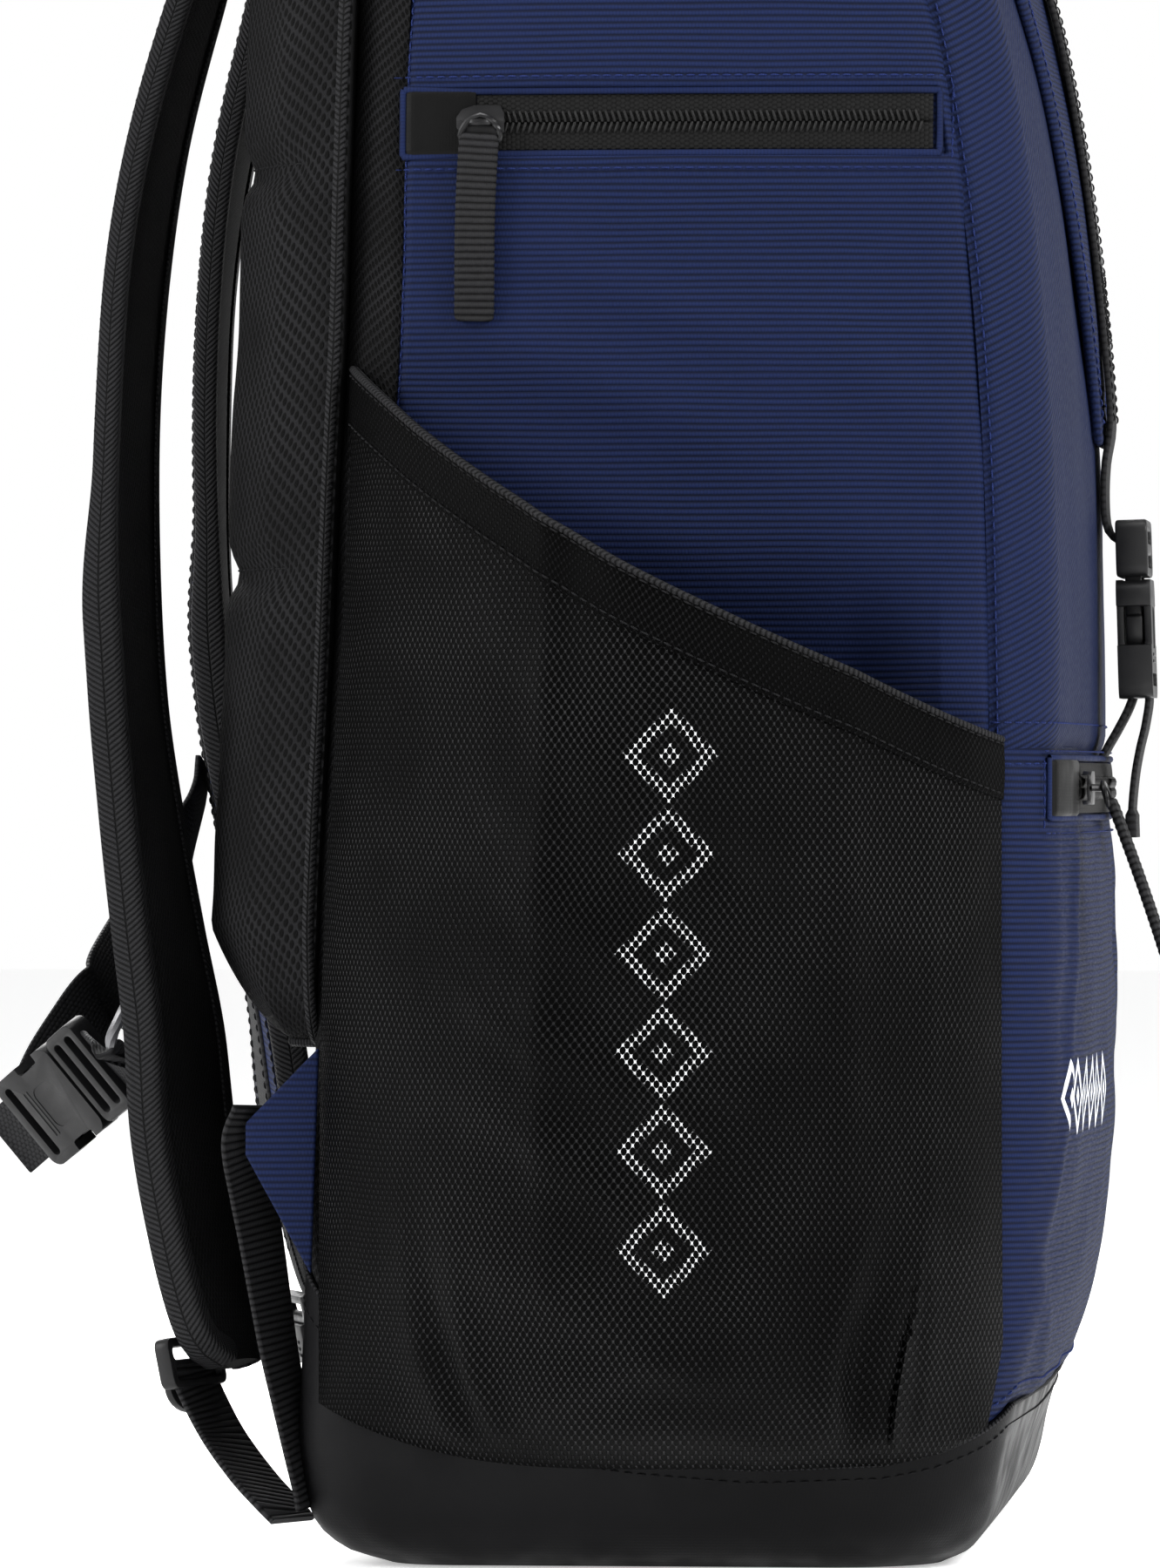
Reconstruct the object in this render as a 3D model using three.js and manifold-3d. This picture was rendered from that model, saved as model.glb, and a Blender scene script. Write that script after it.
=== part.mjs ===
// Sports backpack, 35 litre class: navy polyester body on a coated black base, stretch-mesh
// bottle pocket on each side, zipped pocket on each upper side and across the lower front,
// tapered top lid closed by one centre strap, padded mesh back and shoulder harness.
// Millimetres. +Z up, front of the bag towards -Y, harness towards +Y, left side -X.
// The origin is the middle of the flat underside.
import * as THREE from "three";
import { mergeVertices } from "three/addons/utils/BufferGeometryUtils.js";
import Module from "manifold-3d";
const wasm = await Module();
wasm.setup();

// ---- driving dimensions ----
const WALL = 2.4; // fabric wall with its foam lining
const SEAM_GAP = 0.4; // clear gap between two sewn panels
const R_BACK = 18, R_FRONT = 28; // plan corner radii of the body
const SIDE_CROWN = 3, FRONT_CROWN = 5; // how far the faces belly out
const RECESS = 16; // how far a bottle presses the side wall in
const POCKET_OUT = 62; // how far the mesh pocket stands off the side
const LID_GAP = 1.3, LID_T = 2.6;
const HINGE_Y = 87, HINGE_Z = 481; // lid fold line
const WEB = 25, WEB_T = 1.8; // webbing
// z, half width, front y, back y
const BODY = [
  [0, 136, -56, 84], [4, 146, -63.5, 94], [12, 153.5, -68.5, 101.5], [28, 157.5, -72, 104.5], [45, 159, -76, 104],
  [65, 160, -80.5, 103], [90, 160.5, -83.5, 102], [130, 161, -85.5, 100], [180, 161, -86, 98],
  [220, 160.5, -86, 96], [270, 159, -85, 94], [310, 157, -82.5, 92], [350, 154.5, -78, 91],
  [390, 151, -71, 90], [420, 147, -62.5, 89], [445, 141, -51, 88.5], [465, 133, -37, 88],
  [480, 123, -20, 87.5], [492, 108, 4, 84], [500, 86, 28, 77], [504, 58, 42, 69],
];
// side view of the shoulder strap's centre line: z, x, y, width, turn about z in degrees
const STRAP = [
  [470, 63, 101.5, 50, 0], [454, 65, 118, 55, 0], [430, 68, 131, 59, 0], [399, 73, 140.5, 62, 1], [365, 79, 149, 63, 2],
  [331, 85, 154, 63, 3], [297, 90, 156, 62, 3], [257, 95, 156, 61, 4], [220, 99, 153.5, 60, 4],
  [190, 103, 149.5, 58, 6], [160, 108, 144.5, 56, 9], [135, 112, 140, 54, 12], [108, 116, 137, 51, 15], [83, 120, 132, 48, 17],
  [63, 123, 127, 44, 18], [50, 125, 123, 36, 18],
];
const STRAP_T = 9;

// ---- small helpers ----
const clamp = (x, a, b) => Math.min(b, Math.max(a, x));
const smooth = (a, b, x) => { const t = clamp((x - a) / (b - a), 0, 1); return t * t * (3 - 2 * t); };
const lerp = (a, b, t) => a + (b - a) * t;
function table(tab, x, k) { // Catmull-Rom through the rows of a table
  const n = tab.length;
  if (x <= tab[0][0]) return tab[0][k];
  if (x >= tab[n - 1][0]) return tab[n - 1][k];
  let i = 0;
  while (tab[i + 1][0] < x) i++;
  const t = (x - tab[i][0]) / (tab[i + 1][0] - tab[i][0]);
  const slope = (j) => {
    const a = tab[Math.max(j - 1, 0)], b = tab[Math.min(j + 1, n - 1)];
    return (b[k] - a[k]) / (b[0] - a[0]);
  };
  const h = tab[i + 1][0] - tab[i][0], m0 = slope(i) * h, m1 = slope(i + 1) * h;
  const t2 = t * t, t3 = t2 * t;
  return (2 * t3 - 3 * t2 + 1) * tab[i][k] + (t3 - 2 * t2 + t) * m0 + (-2 * t3 + 3 * t2) * tab[i + 1][k] + (t3 - t2) * m1;
}
const halfWidth = (z) => table(BODY, z, 1), frontY = (z) => table(BODY, z, 2), backY = (z) => table(BODY, z, 3);
const radii = (z) => {
  const m = 0.46 * Math.min(halfWidth(z), (backY(z) - frontY(z)) / 2);
  return [Math.min(R_BACK, m), Math.min(R_FRONT, m)];
};
const recess = (y, z) => RECESS * smooth(-62, -34, y) * (1 - smooth(24, 54, y)) * smooth(22, 52, z) * (1 - smooth(205, 262, z));

// A point on the left half of the body's outline. q runs 0-1 back, 1-2 back corner, 2-3 side, 3-4 front corner, 4-5 front.
function bodyPoint(q, z, off, withRecess = true) {
  const W = halfWidth(z) + off, yf = frontY(z) - off, yb = backY(z) + off;
  let [rb, rf] = radii(z);
  rb += off; rf += off;
  const zt = 1 - smooth(400, 470, z);
  if (q <= 1) return [-(W - rb) * q, yb, z];
  if (q <= 2) { const a = (q - 1) * Math.PI / 2; return [-(W - rb) - rb * Math.sin(a), yb - rb + rb * Math.cos(a), z]; }
  if (q <= 3) {
    const t = q - 2, y = lerp(yb - rb, yf + rf, t);
    const c = SIDE_CROWN * 4 * t * (1 - t) * smooth(0, 40, z) * zt;
    return [-(W + c - (withRecess ? recess(y, z) : 0)), y, z];
  }
  if (q <= 4) { const a = (q - 3) * Math.PI / 2; return [-(W - rf) - rf * Math.cos(a), yf + rf - rf * Math.sin(a), z]; }
  const t = q - 4;
  const c = FRONT_CROWN * (1 - (1 - t) * (1 - t)) * smooth(0, 60, z) * zt;
  return [-(W - rf) * (1 - t), yf - c, z];
}
// |x| of the body's outline at a given y
function sideX(y, z, off) {
  const W = halfWidth(z), yf = frontY(z), yb = backY(z), [rb, rf] = radii(z);
  let x;
  if (y > yb - rb) { const d = Math.min(y - (yb - rb), rb); x = W - rb + Math.sqrt(Math.max(rb * rb - d * d, 0)); }
  else if (y < yf + rf) { const d = Math.min(yf + rf - y, rf); x = W - rf + Math.sqrt(Math.max(rf * rf - d * d, 0)); }
  else {
    const t = (yb - rb - y) / (yb - rb - yf - rf);
    x = W + SIDE_CROWN * 4 * t * (1 - t) * smooth(0, 40, z) * (1 - smooth(400, 470, z)) - recess(y, z);
  }
  return x + off;
}

// closed geometry from vertices and triangles, turned to face outwards
function closed(points, tris) {
  let v = 0;
  for (const [a, b, c] of tris) {
    const p = points[a], q = points[b], r = points[c];
    v += p[0] * (q[1] * r[2] - q[2] * r[1]) - p[1] * (q[0] * r[2] - q[2] * r[0]) + p[2] * (q[0] * r[1] - q[1] * r[0]);
  }
  const idx = [];
  for (const [a, b, c] of tris) v < 0 ? idx.push(a, c, b) : idx.push(a, b, c);
  const g = new THREE.BufferGeometry();
  g.setAttribute("position", new THREE.BufferAttribute(new Float32Array(points.flat()), 3));
  g.setIndex(idx);
  return g;
}
// a thin solid between an outer and an inner grid of points
function slab(outer, inner) {
  const m = outer.length, n = outer[0].length, pts = [...outer.flat(), ...inner.flat()], o = m * n, tris = [];
  const A = (i, j) => i * n + j, B = (i, j) => o + i * n + j;
  const quad = (a, b, c, d) => { tris.push([a, b, c], [a, c, d]); };
  for (let i = 0; i < m - 1; i++) for (let j = 0; j < n - 1; j++) {
    quad(A(i, j), A(i + 1, j), A(i + 1, j + 1), A(i, j + 1));
    quad(B(i, j), B(i, j + 1), B(i + 1, j + 1), B(i + 1, j));
  }
  for (let i = 0; i < m - 1; i++) { quad(A(i, 0), B(i, 0), B(i + 1, 0), A(i + 1, 0)); quad(A(i, n - 1), A(i + 1, n - 1), B(i + 1, n - 1), B(i, n - 1)); }
  for (let j = 0; j < n - 1; j++) { quad(A(0, j), A(0, j + 1), B(0, j + 1), B(0, j)); quad(A(m - 1, j), B(m - 1, j), B(m - 1, j + 1), A(m - 1, j + 1)); }
  return closed(pts, tris);
}
// a solid through closed rings of points, capped at both ends by fans
function rings(list) {
  const m = list.length, n = list[0].length, pts = list.flat(), tris = [];
  for (let i = 0; i < m - 1; i++) for (let j = 0; j < n; j++) {
    const a = i * n + j, b = i * n + (j + 1) % n;
    tris.push([a, b, b + n], [a, b + n, a + n]);
  }
  const c0 = pts.length; pts.push(mean(list[0]));
  const c1 = pts.length; pts.push(mean(list[m - 1]));
  for (let j = 0; j < n; j++) { tris.push([c0, (j + 1) % n, j]); tris.push([c1, (m - 1) * n + j, (m - 1) * n + (j + 1) % n]); }
  return closed(pts, tris);
}
const mean = (ps) => ps.reduce((s, p) => [s[0] + p[0] / ps.length, s[1] + p[1] / ps.length, s[2] + p[2] / ps.length], [0, 0, 0]);
const V = (a) => new THREE.Vector3(...a);
// flat strap or padded strap along a path: each station gives centre, width direction, thickness direction, width, thickness
function ribbon(stations, chamfer = 0.3) {
  return rings(stations.map(({ c, w, t, W, T }) => {
    const wd = V(w).normalize(), td = V(t).normalize(), k = Math.min(T, W) * chamfer, a = W / 2, b = T / 2;
    return [[a, b - k], [a - k, b], [-a + k, b], [-a, b - k], [-a, -b + k], [-a + k, -b], [a - k, -b], [a, -b + k]]
      .map(([x, y]) => V(c).addScaledVector(wd, x).addScaledVector(td, y).toArray());
  }));
}
// stations for a strap of constant width through points, with its width direction given
function path(points, width, thick, W, steps = 3) {
  const curve = new THREE.CatmullRomCurve3(points.map((p) => V(p)), false, "centripetal");
  const n = (points.length - 1) * steps, out = [];
  for (let i = 0; i <= n; i++) {
    const t = i / n, c = curve.getPoint(t), tan = curve.getTangent(t);
    const wd0 = typeof width === "function" ? V(width(t)) : V(width);
    const wd = wd0.sub(tan.clone().multiplyScalar(wd0.dot(tan))).normalize();
    out.push({ c: c.toArray(), w: wd.toArray(), t: new THREE.Vector3().crossVectors(tan, wd).toArray(), W: typeof W === "function" ? W(t) : W, T: thick });
  }
  return out;
}
function solid(g) {
  const c = g.clone().toNonIndexed ? (g.index ? g.toNonIndexed() : g.clone()) : g.clone();
  const bare = new THREE.BufferGeometry().setAttribute("position", c.getAttribute("position"));
  const m = mergeVertices(bare, 1e-4);
  return new wasm.Manifold(new wasm.Mesh({ numProp: 3, vertProperties: m.attributes.position.array, triVerts: new Uint32Array(m.index.array) }));
}
function geometry(s) {
  const m = s.getMesh(), n = m.numProp, v = new Float32Array(m.numVert * 3);
  for (let i = 0; i < m.numVert; i++) v.set(m.vertProperties.subarray(i * n, i * n + 3), i * 3);
  return new THREE.BufferGeometry().setAttribute("position", new THREE.BufferAttribute(v, 3)).setIndex(new THREE.BufferAttribute(new Uint32Array(m.triVerts), 1));
}
// rounded bar in x-y, extruded symmetric about z, moved to a place
function bar(w, h, d, r, x = 0, y = 0, z = 0, seg = 2) {
  const s = new THREE.Shape(), a = w / 2, b = h / 2;
  r = Math.min(r, a - 0.01, b - 0.01);
  s.moveTo(-a + r, -b); s.lineTo(a - r, -b); s.absarc(a - r, -b + r, r, -Math.PI / 2, 0, false);
  s.lineTo(a, b - r); s.absarc(a - r, b - r, r, 0, Math.PI / 2, false);
  s.lineTo(-a + r, b); s.absarc(-a + r, b - r, r, Math.PI / 2, Math.PI, false);
  s.lineTo(-a, -b + r); s.absarc(-a + r, -b + r, r, Math.PI, 1.5 * Math.PI, false);
  return new THREE.ExtrudeGeometry(s, { depth: d, bevelEnabled: false, curveSegments: seg }).translate(x, y, z - d / 2);
}
const box = (w, h, d, x = 0, y = 0, z = 0) => new THREE.BoxGeometry(w, h, d).translate(x, y, z);
const union = (...g) => g.map(solid).reduce((a, b) => a.add(b));
// side-view polygon (y, z) made a prism across x, or front-view polygon (x, z) made a prism along y
function prism(points, axis, from, to) {
  const n = points.length, pts = [], tris = [];
  for (const e of [from, to]) for (const [a, z] of points) pts.push(axis === "x" ? [e, a, z] : [a, e, z]);
  const shape = THREE.ShapeUtils.triangulateShape(points.map(([a, b]) => new THREE.Vector2(a, b)), []);
  for (const [a, b, c] of shape) { tris.push([a, b, c]); tris.push([n + a, n + c, n + b]); }
  const ccw = THREE.ShapeUtils.area(points.map(([a, b]) => new THREE.Vector2(a, b))) > 0;
  for (let i = 0; i < n; i++) { const j = (i + 1) % n; const f = ccw ? [[i, j + n, j], [i, i + n, j + n]] : [[i, j, j + n], [i, j + n, i + n]]; tris.push(...f.map((t) => ccw ? [t[0], t[1], t[2]] : t)); }
  // make all faces agree: try both windings of the walls until it is closed
  try { const g = closed(pts, tris); solid(g); return g; } catch (e) {
    const flipped = tris.map((t, i) => i < shape.length * 2 ? t : [t[0], t[2], t[1]]);
    return closed(pts, flipped);
  }
}
function mirrored(g) {
  const c = g.clone(), p = c.getAttribute("position");
  for (let i = 0; i < p.count; i++) p.setX(i, -p.getX(i));
  if (c.index) { const a = c.index.array; for (let i = 0; i < a.length; i += 3) [a[i + 1], a[i + 2]] = [a[i + 2], a[i + 1]]; }
  else { const a = p.array; for (let i = 0; i < a.length; i += 9) for (let k = 0; k < 3; k++) [a[i + 3 + k], a[i + 6 + k]] = [a[i + 6 + k], a[i + 3 + k]]; }
  return c;
}
const clean = (g) => geometry(solid(g));

const bag = new THREE.Group();
const mat = {
  navy: new THREE.MeshStandardMaterial({ color: 0x1c2850, roughness: 0.85 }),
  base: new THREE.MeshStandardMaterial({ color: 0x1b1b1c, roughness: 0.6 }),
  mesh: new THREE.MeshStandardMaterial({ color: 0x121212, roughness: 0.9 }),
  air: new THREE.MeshStandardMaterial({ color: 0x151515, roughness: 0.95 }),
  web: new THREE.MeshStandardMaterial({ color: 0x101010, roughness: 0.8 }),
  pom: new THREE.MeshStandardMaterial({ color: 0x1a1a1b, roughness: 0.4 }),
  zip: new THREE.MeshStandardMaterial({ color: 0x1a1a19, roughness: 0.7 }),
  patch: new THREE.MeshStandardMaterial({ color: 0x262624, roughness: 0.6 }),
  metal: new THREE.MeshStandardMaterial({ color: 0x202022, roughness: 0.3, metalness: 0.8 }),
  board: new THREE.MeshStandardMaterial({ color: 0x303236, roughness: 0.5 }),
  lining: new THREE.MeshStandardMaterial({ color: 0x23252b, roughness: 0.9 }),
};
function add(name, g, m) { const o = new THREE.Mesh(g, mat[m]); o.name = name; bag.add(o); return o; }
function pair(name, g, m) { add(name + "_left", g, m); add(name + "_right", mirrored(g), m); }

// ---- seams: the base's upper edge climbs towards the back and front corners ----
const baseTop = (q) => {
  const s = q < 2 ? lerp(84, 60, smooth(0.7, 1.9, q)) : q < 3 ? lerp(60, 24, smooth(2.0, 2.22, q)) : 24;
  return q <= 2.8 ? s : lerp(24, 42, smooth(2.8, 3.9, q));
};
const Q_BACK = 1.86, Q_FRONT = 3.3; // where the back and front seams of a side panel run
const KNOTS = [0, 0.33, 0.66, 1, 1.3, 1.6, Q_BACK, 2, 2.18, 2.36, 2.52, 2.68, 2.84, 3, 3.1, 3.2, Q_FRONT, 3.5, 3.7, 3.85, 4, 4.33, 4.66, 5];
const RIM = 462, RIM_BACK = 477; // height of the mouth, at the front and sides and at the back
const rimAt = (q) => lerp(RIM_BACK, RIM, smooth(1.6, 2.35, q));
const POCKET_TOP = 206; // top seam of the front pocket

// panel of the body between two seams and two heights
function panel(q0, q1, nq, zlo, zhi, nz, off0, off1, withRecess = true, knots = null) {
  const grid = (off) => {
    const g = [];
    for (let i = 0; i <= nq; i++) {
      const q = knots ? knots[i] : lerp(q0, q1, i / nq), row = [];
      for (let j = 0; j <= nz; j++) {
        const z = lerp(zlo(q), zhi(q), j / nz);
        row.push(bodyPoint(q, z, off, withRecess));
      }
      g.push(row);
    }
    return g;
  };
  return slab(grid(off0), grid(off1));
}
// a wall panel that crosses the middle: left half, then its mirror image in the same grid
function wide(knots, zlo, zhi, nz, off0, off1) {
  const grid = (off) => {
    const left = knots.map((q) => { const row = []; for (let j = 0; j <= nz; j++) row.push(bodyPoint(q, lerp(zlo(q), zhi(q), j / nz), off, false)); return row; });
    const right = left.slice().reverse().slice(1).map((row) => row.map(([x, y, z]) => [-x, y, z]));
    return [...left, ...right];
  };
  return slab(grid(off0), grid(off1));
}

// ---- body panels ----
{ // coated base: a tub with a flat underside
  const NQ = KNOTS;
  const ringAt = (f, off, zoff) => {
    const l = NQ.map((q) => bodyPoint(q, f(q) + zoff, off, false));
    return [...l, ...l.slice(1, -1).reverse().map(([x, y, z]) => [-x, y, z])];
  };
  const lv = [0, 0.1, 0.28, 0.55, 1];
  const outer = lv.map((t) => ringAt((q) => t * baseTop(q), 0, 0));
  const inner = lv.map((t) => ringAt((q) => Math.max(t * baseTop(q), 0), -WALL, 0)).map((r, i) => r.map(([x, y, z]) => [x, y, Math.max(z, 3) + (i === 4 ? 2 : 0)]));
  // inner wall reaches above the rim so that the cut leaves an open tub
  add("base", geometry(solid(rings(outer)).subtract(solid(rings(inner)))), "base");
}
const sideKnots = [Q_BACK, 2, 2.18, 2.36, 2.52, 2.68, 2.84, 3, 3.1, 3.2, Q_FRONT];
const zipY0 = -56, zipY1 = 75.5, ZIP_Z = 362.5, ZIP_H = 14; // upper side zip
{
  const lo = (q) => baseTop(q) + SEAM_GAP + 1.3, hi = rimAt;
  let side = solid(panel(0, 0, sideKnots.length - 1, lo, hi, 12, 0, -WALL, true, sideKnots));
  side = side.subtract(solid(box(30, 104, 4, -152, 2, ZIP_Z))); // the slit the zip closes
  pair("side_panel", geometry(side), "navy");
}
const gapQ = 0.02;
add("front_upper_panel", wide([Q_FRONT + gapQ, 3.5, 3.7, 3.85, 4, 4.33, 4.66, 5], () => POCKET_TOP + SEAM_GAP, () => RIM, 9, 0, -WALL), "navy");
add("front_pocket", geometry(solid(wide([Q_FRONT + gapQ, 3.5, 3.7, 3.85, 4, 4.33, 4.66, 5], (q) => baseTop(q) + SEAM_GAP + 1.3, () => POCKET_TOP - SEAM_GAP, 7, 0.8, -1.6)).subtract(solid(box(206, 40, 4.6, 4, -90, 196)))), "navy");
add("front_inner_panel", clean(box(268, 2, 168, 0, -66, 123)), "lining");
add("back_panel", wide([Q_BACK - gapQ, 1.6, 1.3, 1, 0.66, 0.33, 0], (q) => baseTop(q) + SEAM_GAP, rimAt, 9, 0, -WALL), "lining");
add("rim_binding", (() => { // bound edge of the mouth
  const loop = (off, dz) => { const l = KNOTS.map((q) => bodyPoint(q, rimAt(q) + dz, off, false)); return [...l, ...l.slice(1, -1).reverse().map(([x, y, z]) => [-x, y, z])]; };
  return geometry(solid(rings([loop(0.2, 0.5), loop(0.2, 4.5)])).subtract(solid(rings([loop(-3.2, -1.5), loop(-3.2, 7.5)]))));
})(), "web");

// ---- inside ----
add("base_board", clean(bar(268, 132, 2.5, 22, 0, 13, 5.2)), "board");
add("frame_sheet", clean(box(226, 1.6, 356, 0, 82.6, 270)), "board");
add("laptop_sleeve", geometry(solid(box(272, 20, 292, 0, 71, 158)).subtract(solid(box(267, 20, 300, 0, 73, 165)))), "lining");

// ---- stretch-mesh bottle pockets ----
const hemZ = (y) => { // height of the pocket's mouth along its slanting hem
  const T = [[-86, 206], [-75, 207.5], [-40, 224], [-10, 238], [18, 252], [45, 268], [70, 285], [84, 296], [96, 306]];
  return table(T, y, 1);
};
const POCKET_BACK = (z) => lerp(98, 90, smooth(120, 300, z)), POCKET_FRONT = (z) => Math.max(-73.5, frontY(z) + 6);
const pocketOut = (u, v) => {
  const across = Math.pow(Math.sin(Math.PI * clamp(0.04 + 0.92 * Math.pow(u, 1.02), 0, 1)), 0.75);
  const a0 = Math.pow(Math.sin(Math.PI * 0.04), 0.75);
  const up = Math.sqrt(Math.max(0, 1 - Math.pow(1 - clamp(v / 0.3, 0, 1), 2)));
  return (POCKET_OUT - 2) * Math.max(0, (across - a0) / (1 - a0)) * up * lerp(1, 0.94, smooth(0.6, 1, v));
};
function pocketPoint(u, v, off, vmaxDrop = 0) {
  // u from the back seam to the front seam, v from the bottom seam to the hem
  const yTop = lerp(POCKET_BACK(290), POCKET_FRONT(206), u), zTop = hemZ(yTop) - vmaxDrop;
  const zBot = 27 + 16 * Math.pow(Math.abs(2 * u - 1), 3);
  const z = lerp(zBot, zTop, v), y = lerp(POCKET_BACK(z), POCKET_FRONT(z), u);
  const root = Math.max(sideX(y, z, 0), 0), flat = sideX(y, z, 0) + recess(y, z);
  const s = pocketOut(u, v);
  return [-(lerp(root, flat, smooth(0, 14, s)) + s + off + 2.6 * smooth(0.8, 1, u)), y, z];
}
{
  const grid = (off) => { const g = []; for (let i = 0; i <= 14; i++) { const r = []; for (let j = 0; j <= 8; j++) r.push(pocketPoint(i / 14, Math.pow(j / 8, 1.4), off, 10)); g.push(r); } return g; };
  pair("bottle_pocket", slab(grid(3), grid(1.2)), "mesh");
  const hem = (off, lo) => { const g = []; for (let i = 0; i <= 14; i++) { const top = pocketPoint(i / 14, 1, off, 0), low = pocketPoint(i / 14, 1, off, 9.4); g.push([low, top]); } return g; };
  pair("pocket_hem", slab(hem(3.6), hem(0.9)), "web");
}

// ---- upper side zips ----
const tapeX = (y, off) => -(sideX(y, ZIP_Z, 0) + off);
{
  const strip = (y0, y1, n, h, o1, o0, zc = ZIP_Z) => {
    const grid = (o) => { const g = []; for (let i = 0; i <= n; i++) { const y = lerp(y0, y1, i / n); g.push([[-(sideX(y, zc - h / 2, o)), y, zc - h / 2], [-(sideX(y, zc + h / 2, o)), y, zc + h / 2]]); } return g; };
    return slab(grid(o1), grid(o0));
  };
  pair("side_zip_tape", strip(zipY0, 58, 10, ZIP_H, 1.9, 0.9), "zip");
  pair("side_zip_patch", strip(58.4, zipY1, 3, ZIP_H + 3, 2.1, 0.9), "patch");
  // slider: body with a bridge, standing on the tape
  const sx = tapeX(30, 2.6);
  const slider = union(box(2.6, 12, 8.5, sx - 1.3, 57.2, ZIP_Z), box(2.2, 7, 3, sx - 3.4, 57, ZIP_Z)).subtract(solid(box(1.2, 3.2, 8, sx - 2.9, 57, ZIP_Z)));
  pair("side_zip_slider", geometry(slider), "metal");
  const tab = union(box(2.2, 10, 47, sx - 6.2, 57, ZIP_Z - 26.5), box(1.4, 6, 4.2, sx - 6.2, 57, ZIP_Z - 1.2));
  pair("side_zip_pull", geometry(tab), "web");
}

// ---- front pocket zip, straight across the bulging front ----
const FZ = 196;
const FRONT_R = Math.pow(halfWidth(FZ) - radii(FZ)[1], 2) / (2 * FRONT_CROWN); // radius of the pocket's curve in plan
const pocketY = (x, z, off) => { const [, rf] = radii(z); return frontY(z) - off - FRONT_CROWN * (1 - Math.pow(x / (halfWidth(z) - rf), 2)); };
{
  const strip = (list, h, o1, o0) => { // list of [q, side]
    const grid = (o) => list.map(([q, s]) => [-1, 1].map((e) => { const [x, y] = bodyPoint(q, FZ, o, false); return [s * x, y, FZ + (e * h) / 2]; }));
    return slab(grid(o1), grid(o0));
  };
  add("front_zip_tape", strip([[4.2, 1], [4.4, 1], [4.7, 1], [5, 1], [4.7, -1], [4.4, -1], [4.12, -1]], 13, 2.5, 1.6), "zip");
  add("front_zip_patch", strip([[3.74, 1], [3.86, 1], [4, 1], [4.19, 1]], 15, 2.7, 1.6), "patch");
  // the slider travels along the pocket's curve, about a far vertical axis
  const sx = -100, sy = pocketY(sx, FZ, 2.9);
  const at = (g) => g.applyMatrix4(new THREE.Matrix4().makeTranslation(sx, sy, FZ).multiply(new THREE.Matrix4().makeRotationZ(Math.asin(sx / FRONT_R))));
  add("front_zip_slider", at(geometry(union(box(12, 2.6, 8.5, 0, -1.3, 0), box(7, 2.2, 3, 0, -3.4, 0)).subtract(solid(box(3.2, 1.2, 8, 0, -2.9, 0))))), "metal");
  const tab = geometry(union(box(10, 2.2, 51, 0, 0, -27.5), box(6, 1.4, 3.6, 0, 0, -0.7)));
  tab.applyMatrix4(new THREE.Matrix4().makeTranslation(0, -6.2, 0).multiply(new THREE.Matrix4().makeRotationX(-0.33)));
  add("front_zip_pull", at(tab), "web");
}

// ---- padded back ----
const padOut = (x, z) => { // how far the pad stands out behind the back panel
  const ax = Math.abs(x);
  const across = smooth(152, 118, 0) * 0 + Math.pow(clamp((153 - ax) / 40, 0, 1), 0.6) * Math.pow(clamp((ax - 20) / 26, 0, 1), 0.55);
  const ends = Math.pow(clamp((z - 131) / 30, 0, 1), 0.55) * Math.pow(clamp((453 - z) / 34, 0, 1), 0.55);
  return 5 + 26 * across * ends;
};
{
  const xs = [-152, -147, -136, -118, -96, -72, -50, -36, -27, -21], zs = [132, 136, 144, 162, 200, 260, 330, 400, 426, 440, 448, 452];
  // the outer edge follows the bag's outline and turns in at the corners
  const padX = (x, z) => {
    const t = clamp(Math.max(z - 438, 146 - z) / 14, 0, 1);
    const edge = Math.min(152, halfWidth(z) - 3) - 14 * (1 - Math.sqrt(1 - t * t));
    return -21 + (x + 21) * (edge - 21) / 131;
  };
  const outer = xs.map((x) => zs.map((z) => [padX(x, z), backY(z) + 0.6 + padOut(x, z) - (Math.abs(x) > 140 ? (Math.abs(x) - 140) * 0.5 : 0), z]));
  const inner = xs.map((x) => zs.map((z) => [padX(x, z), backY(z) + 0.6, z]));
  pair("back_pad", slab(outer, inner), "air");
  const lum = (d) => [-17, -12, 0, 12, 17].map((x) => [140, 146, 172, 198, 204].map((z) => [x, backY(z) + 0.6 + d * (Math.abs(x) > 15 || z < 142 || z > 202 ? 0.45 : 1), z]));
  add("lumbar_pad", slab(lum(16), lum(0)), "air");
}

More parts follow.
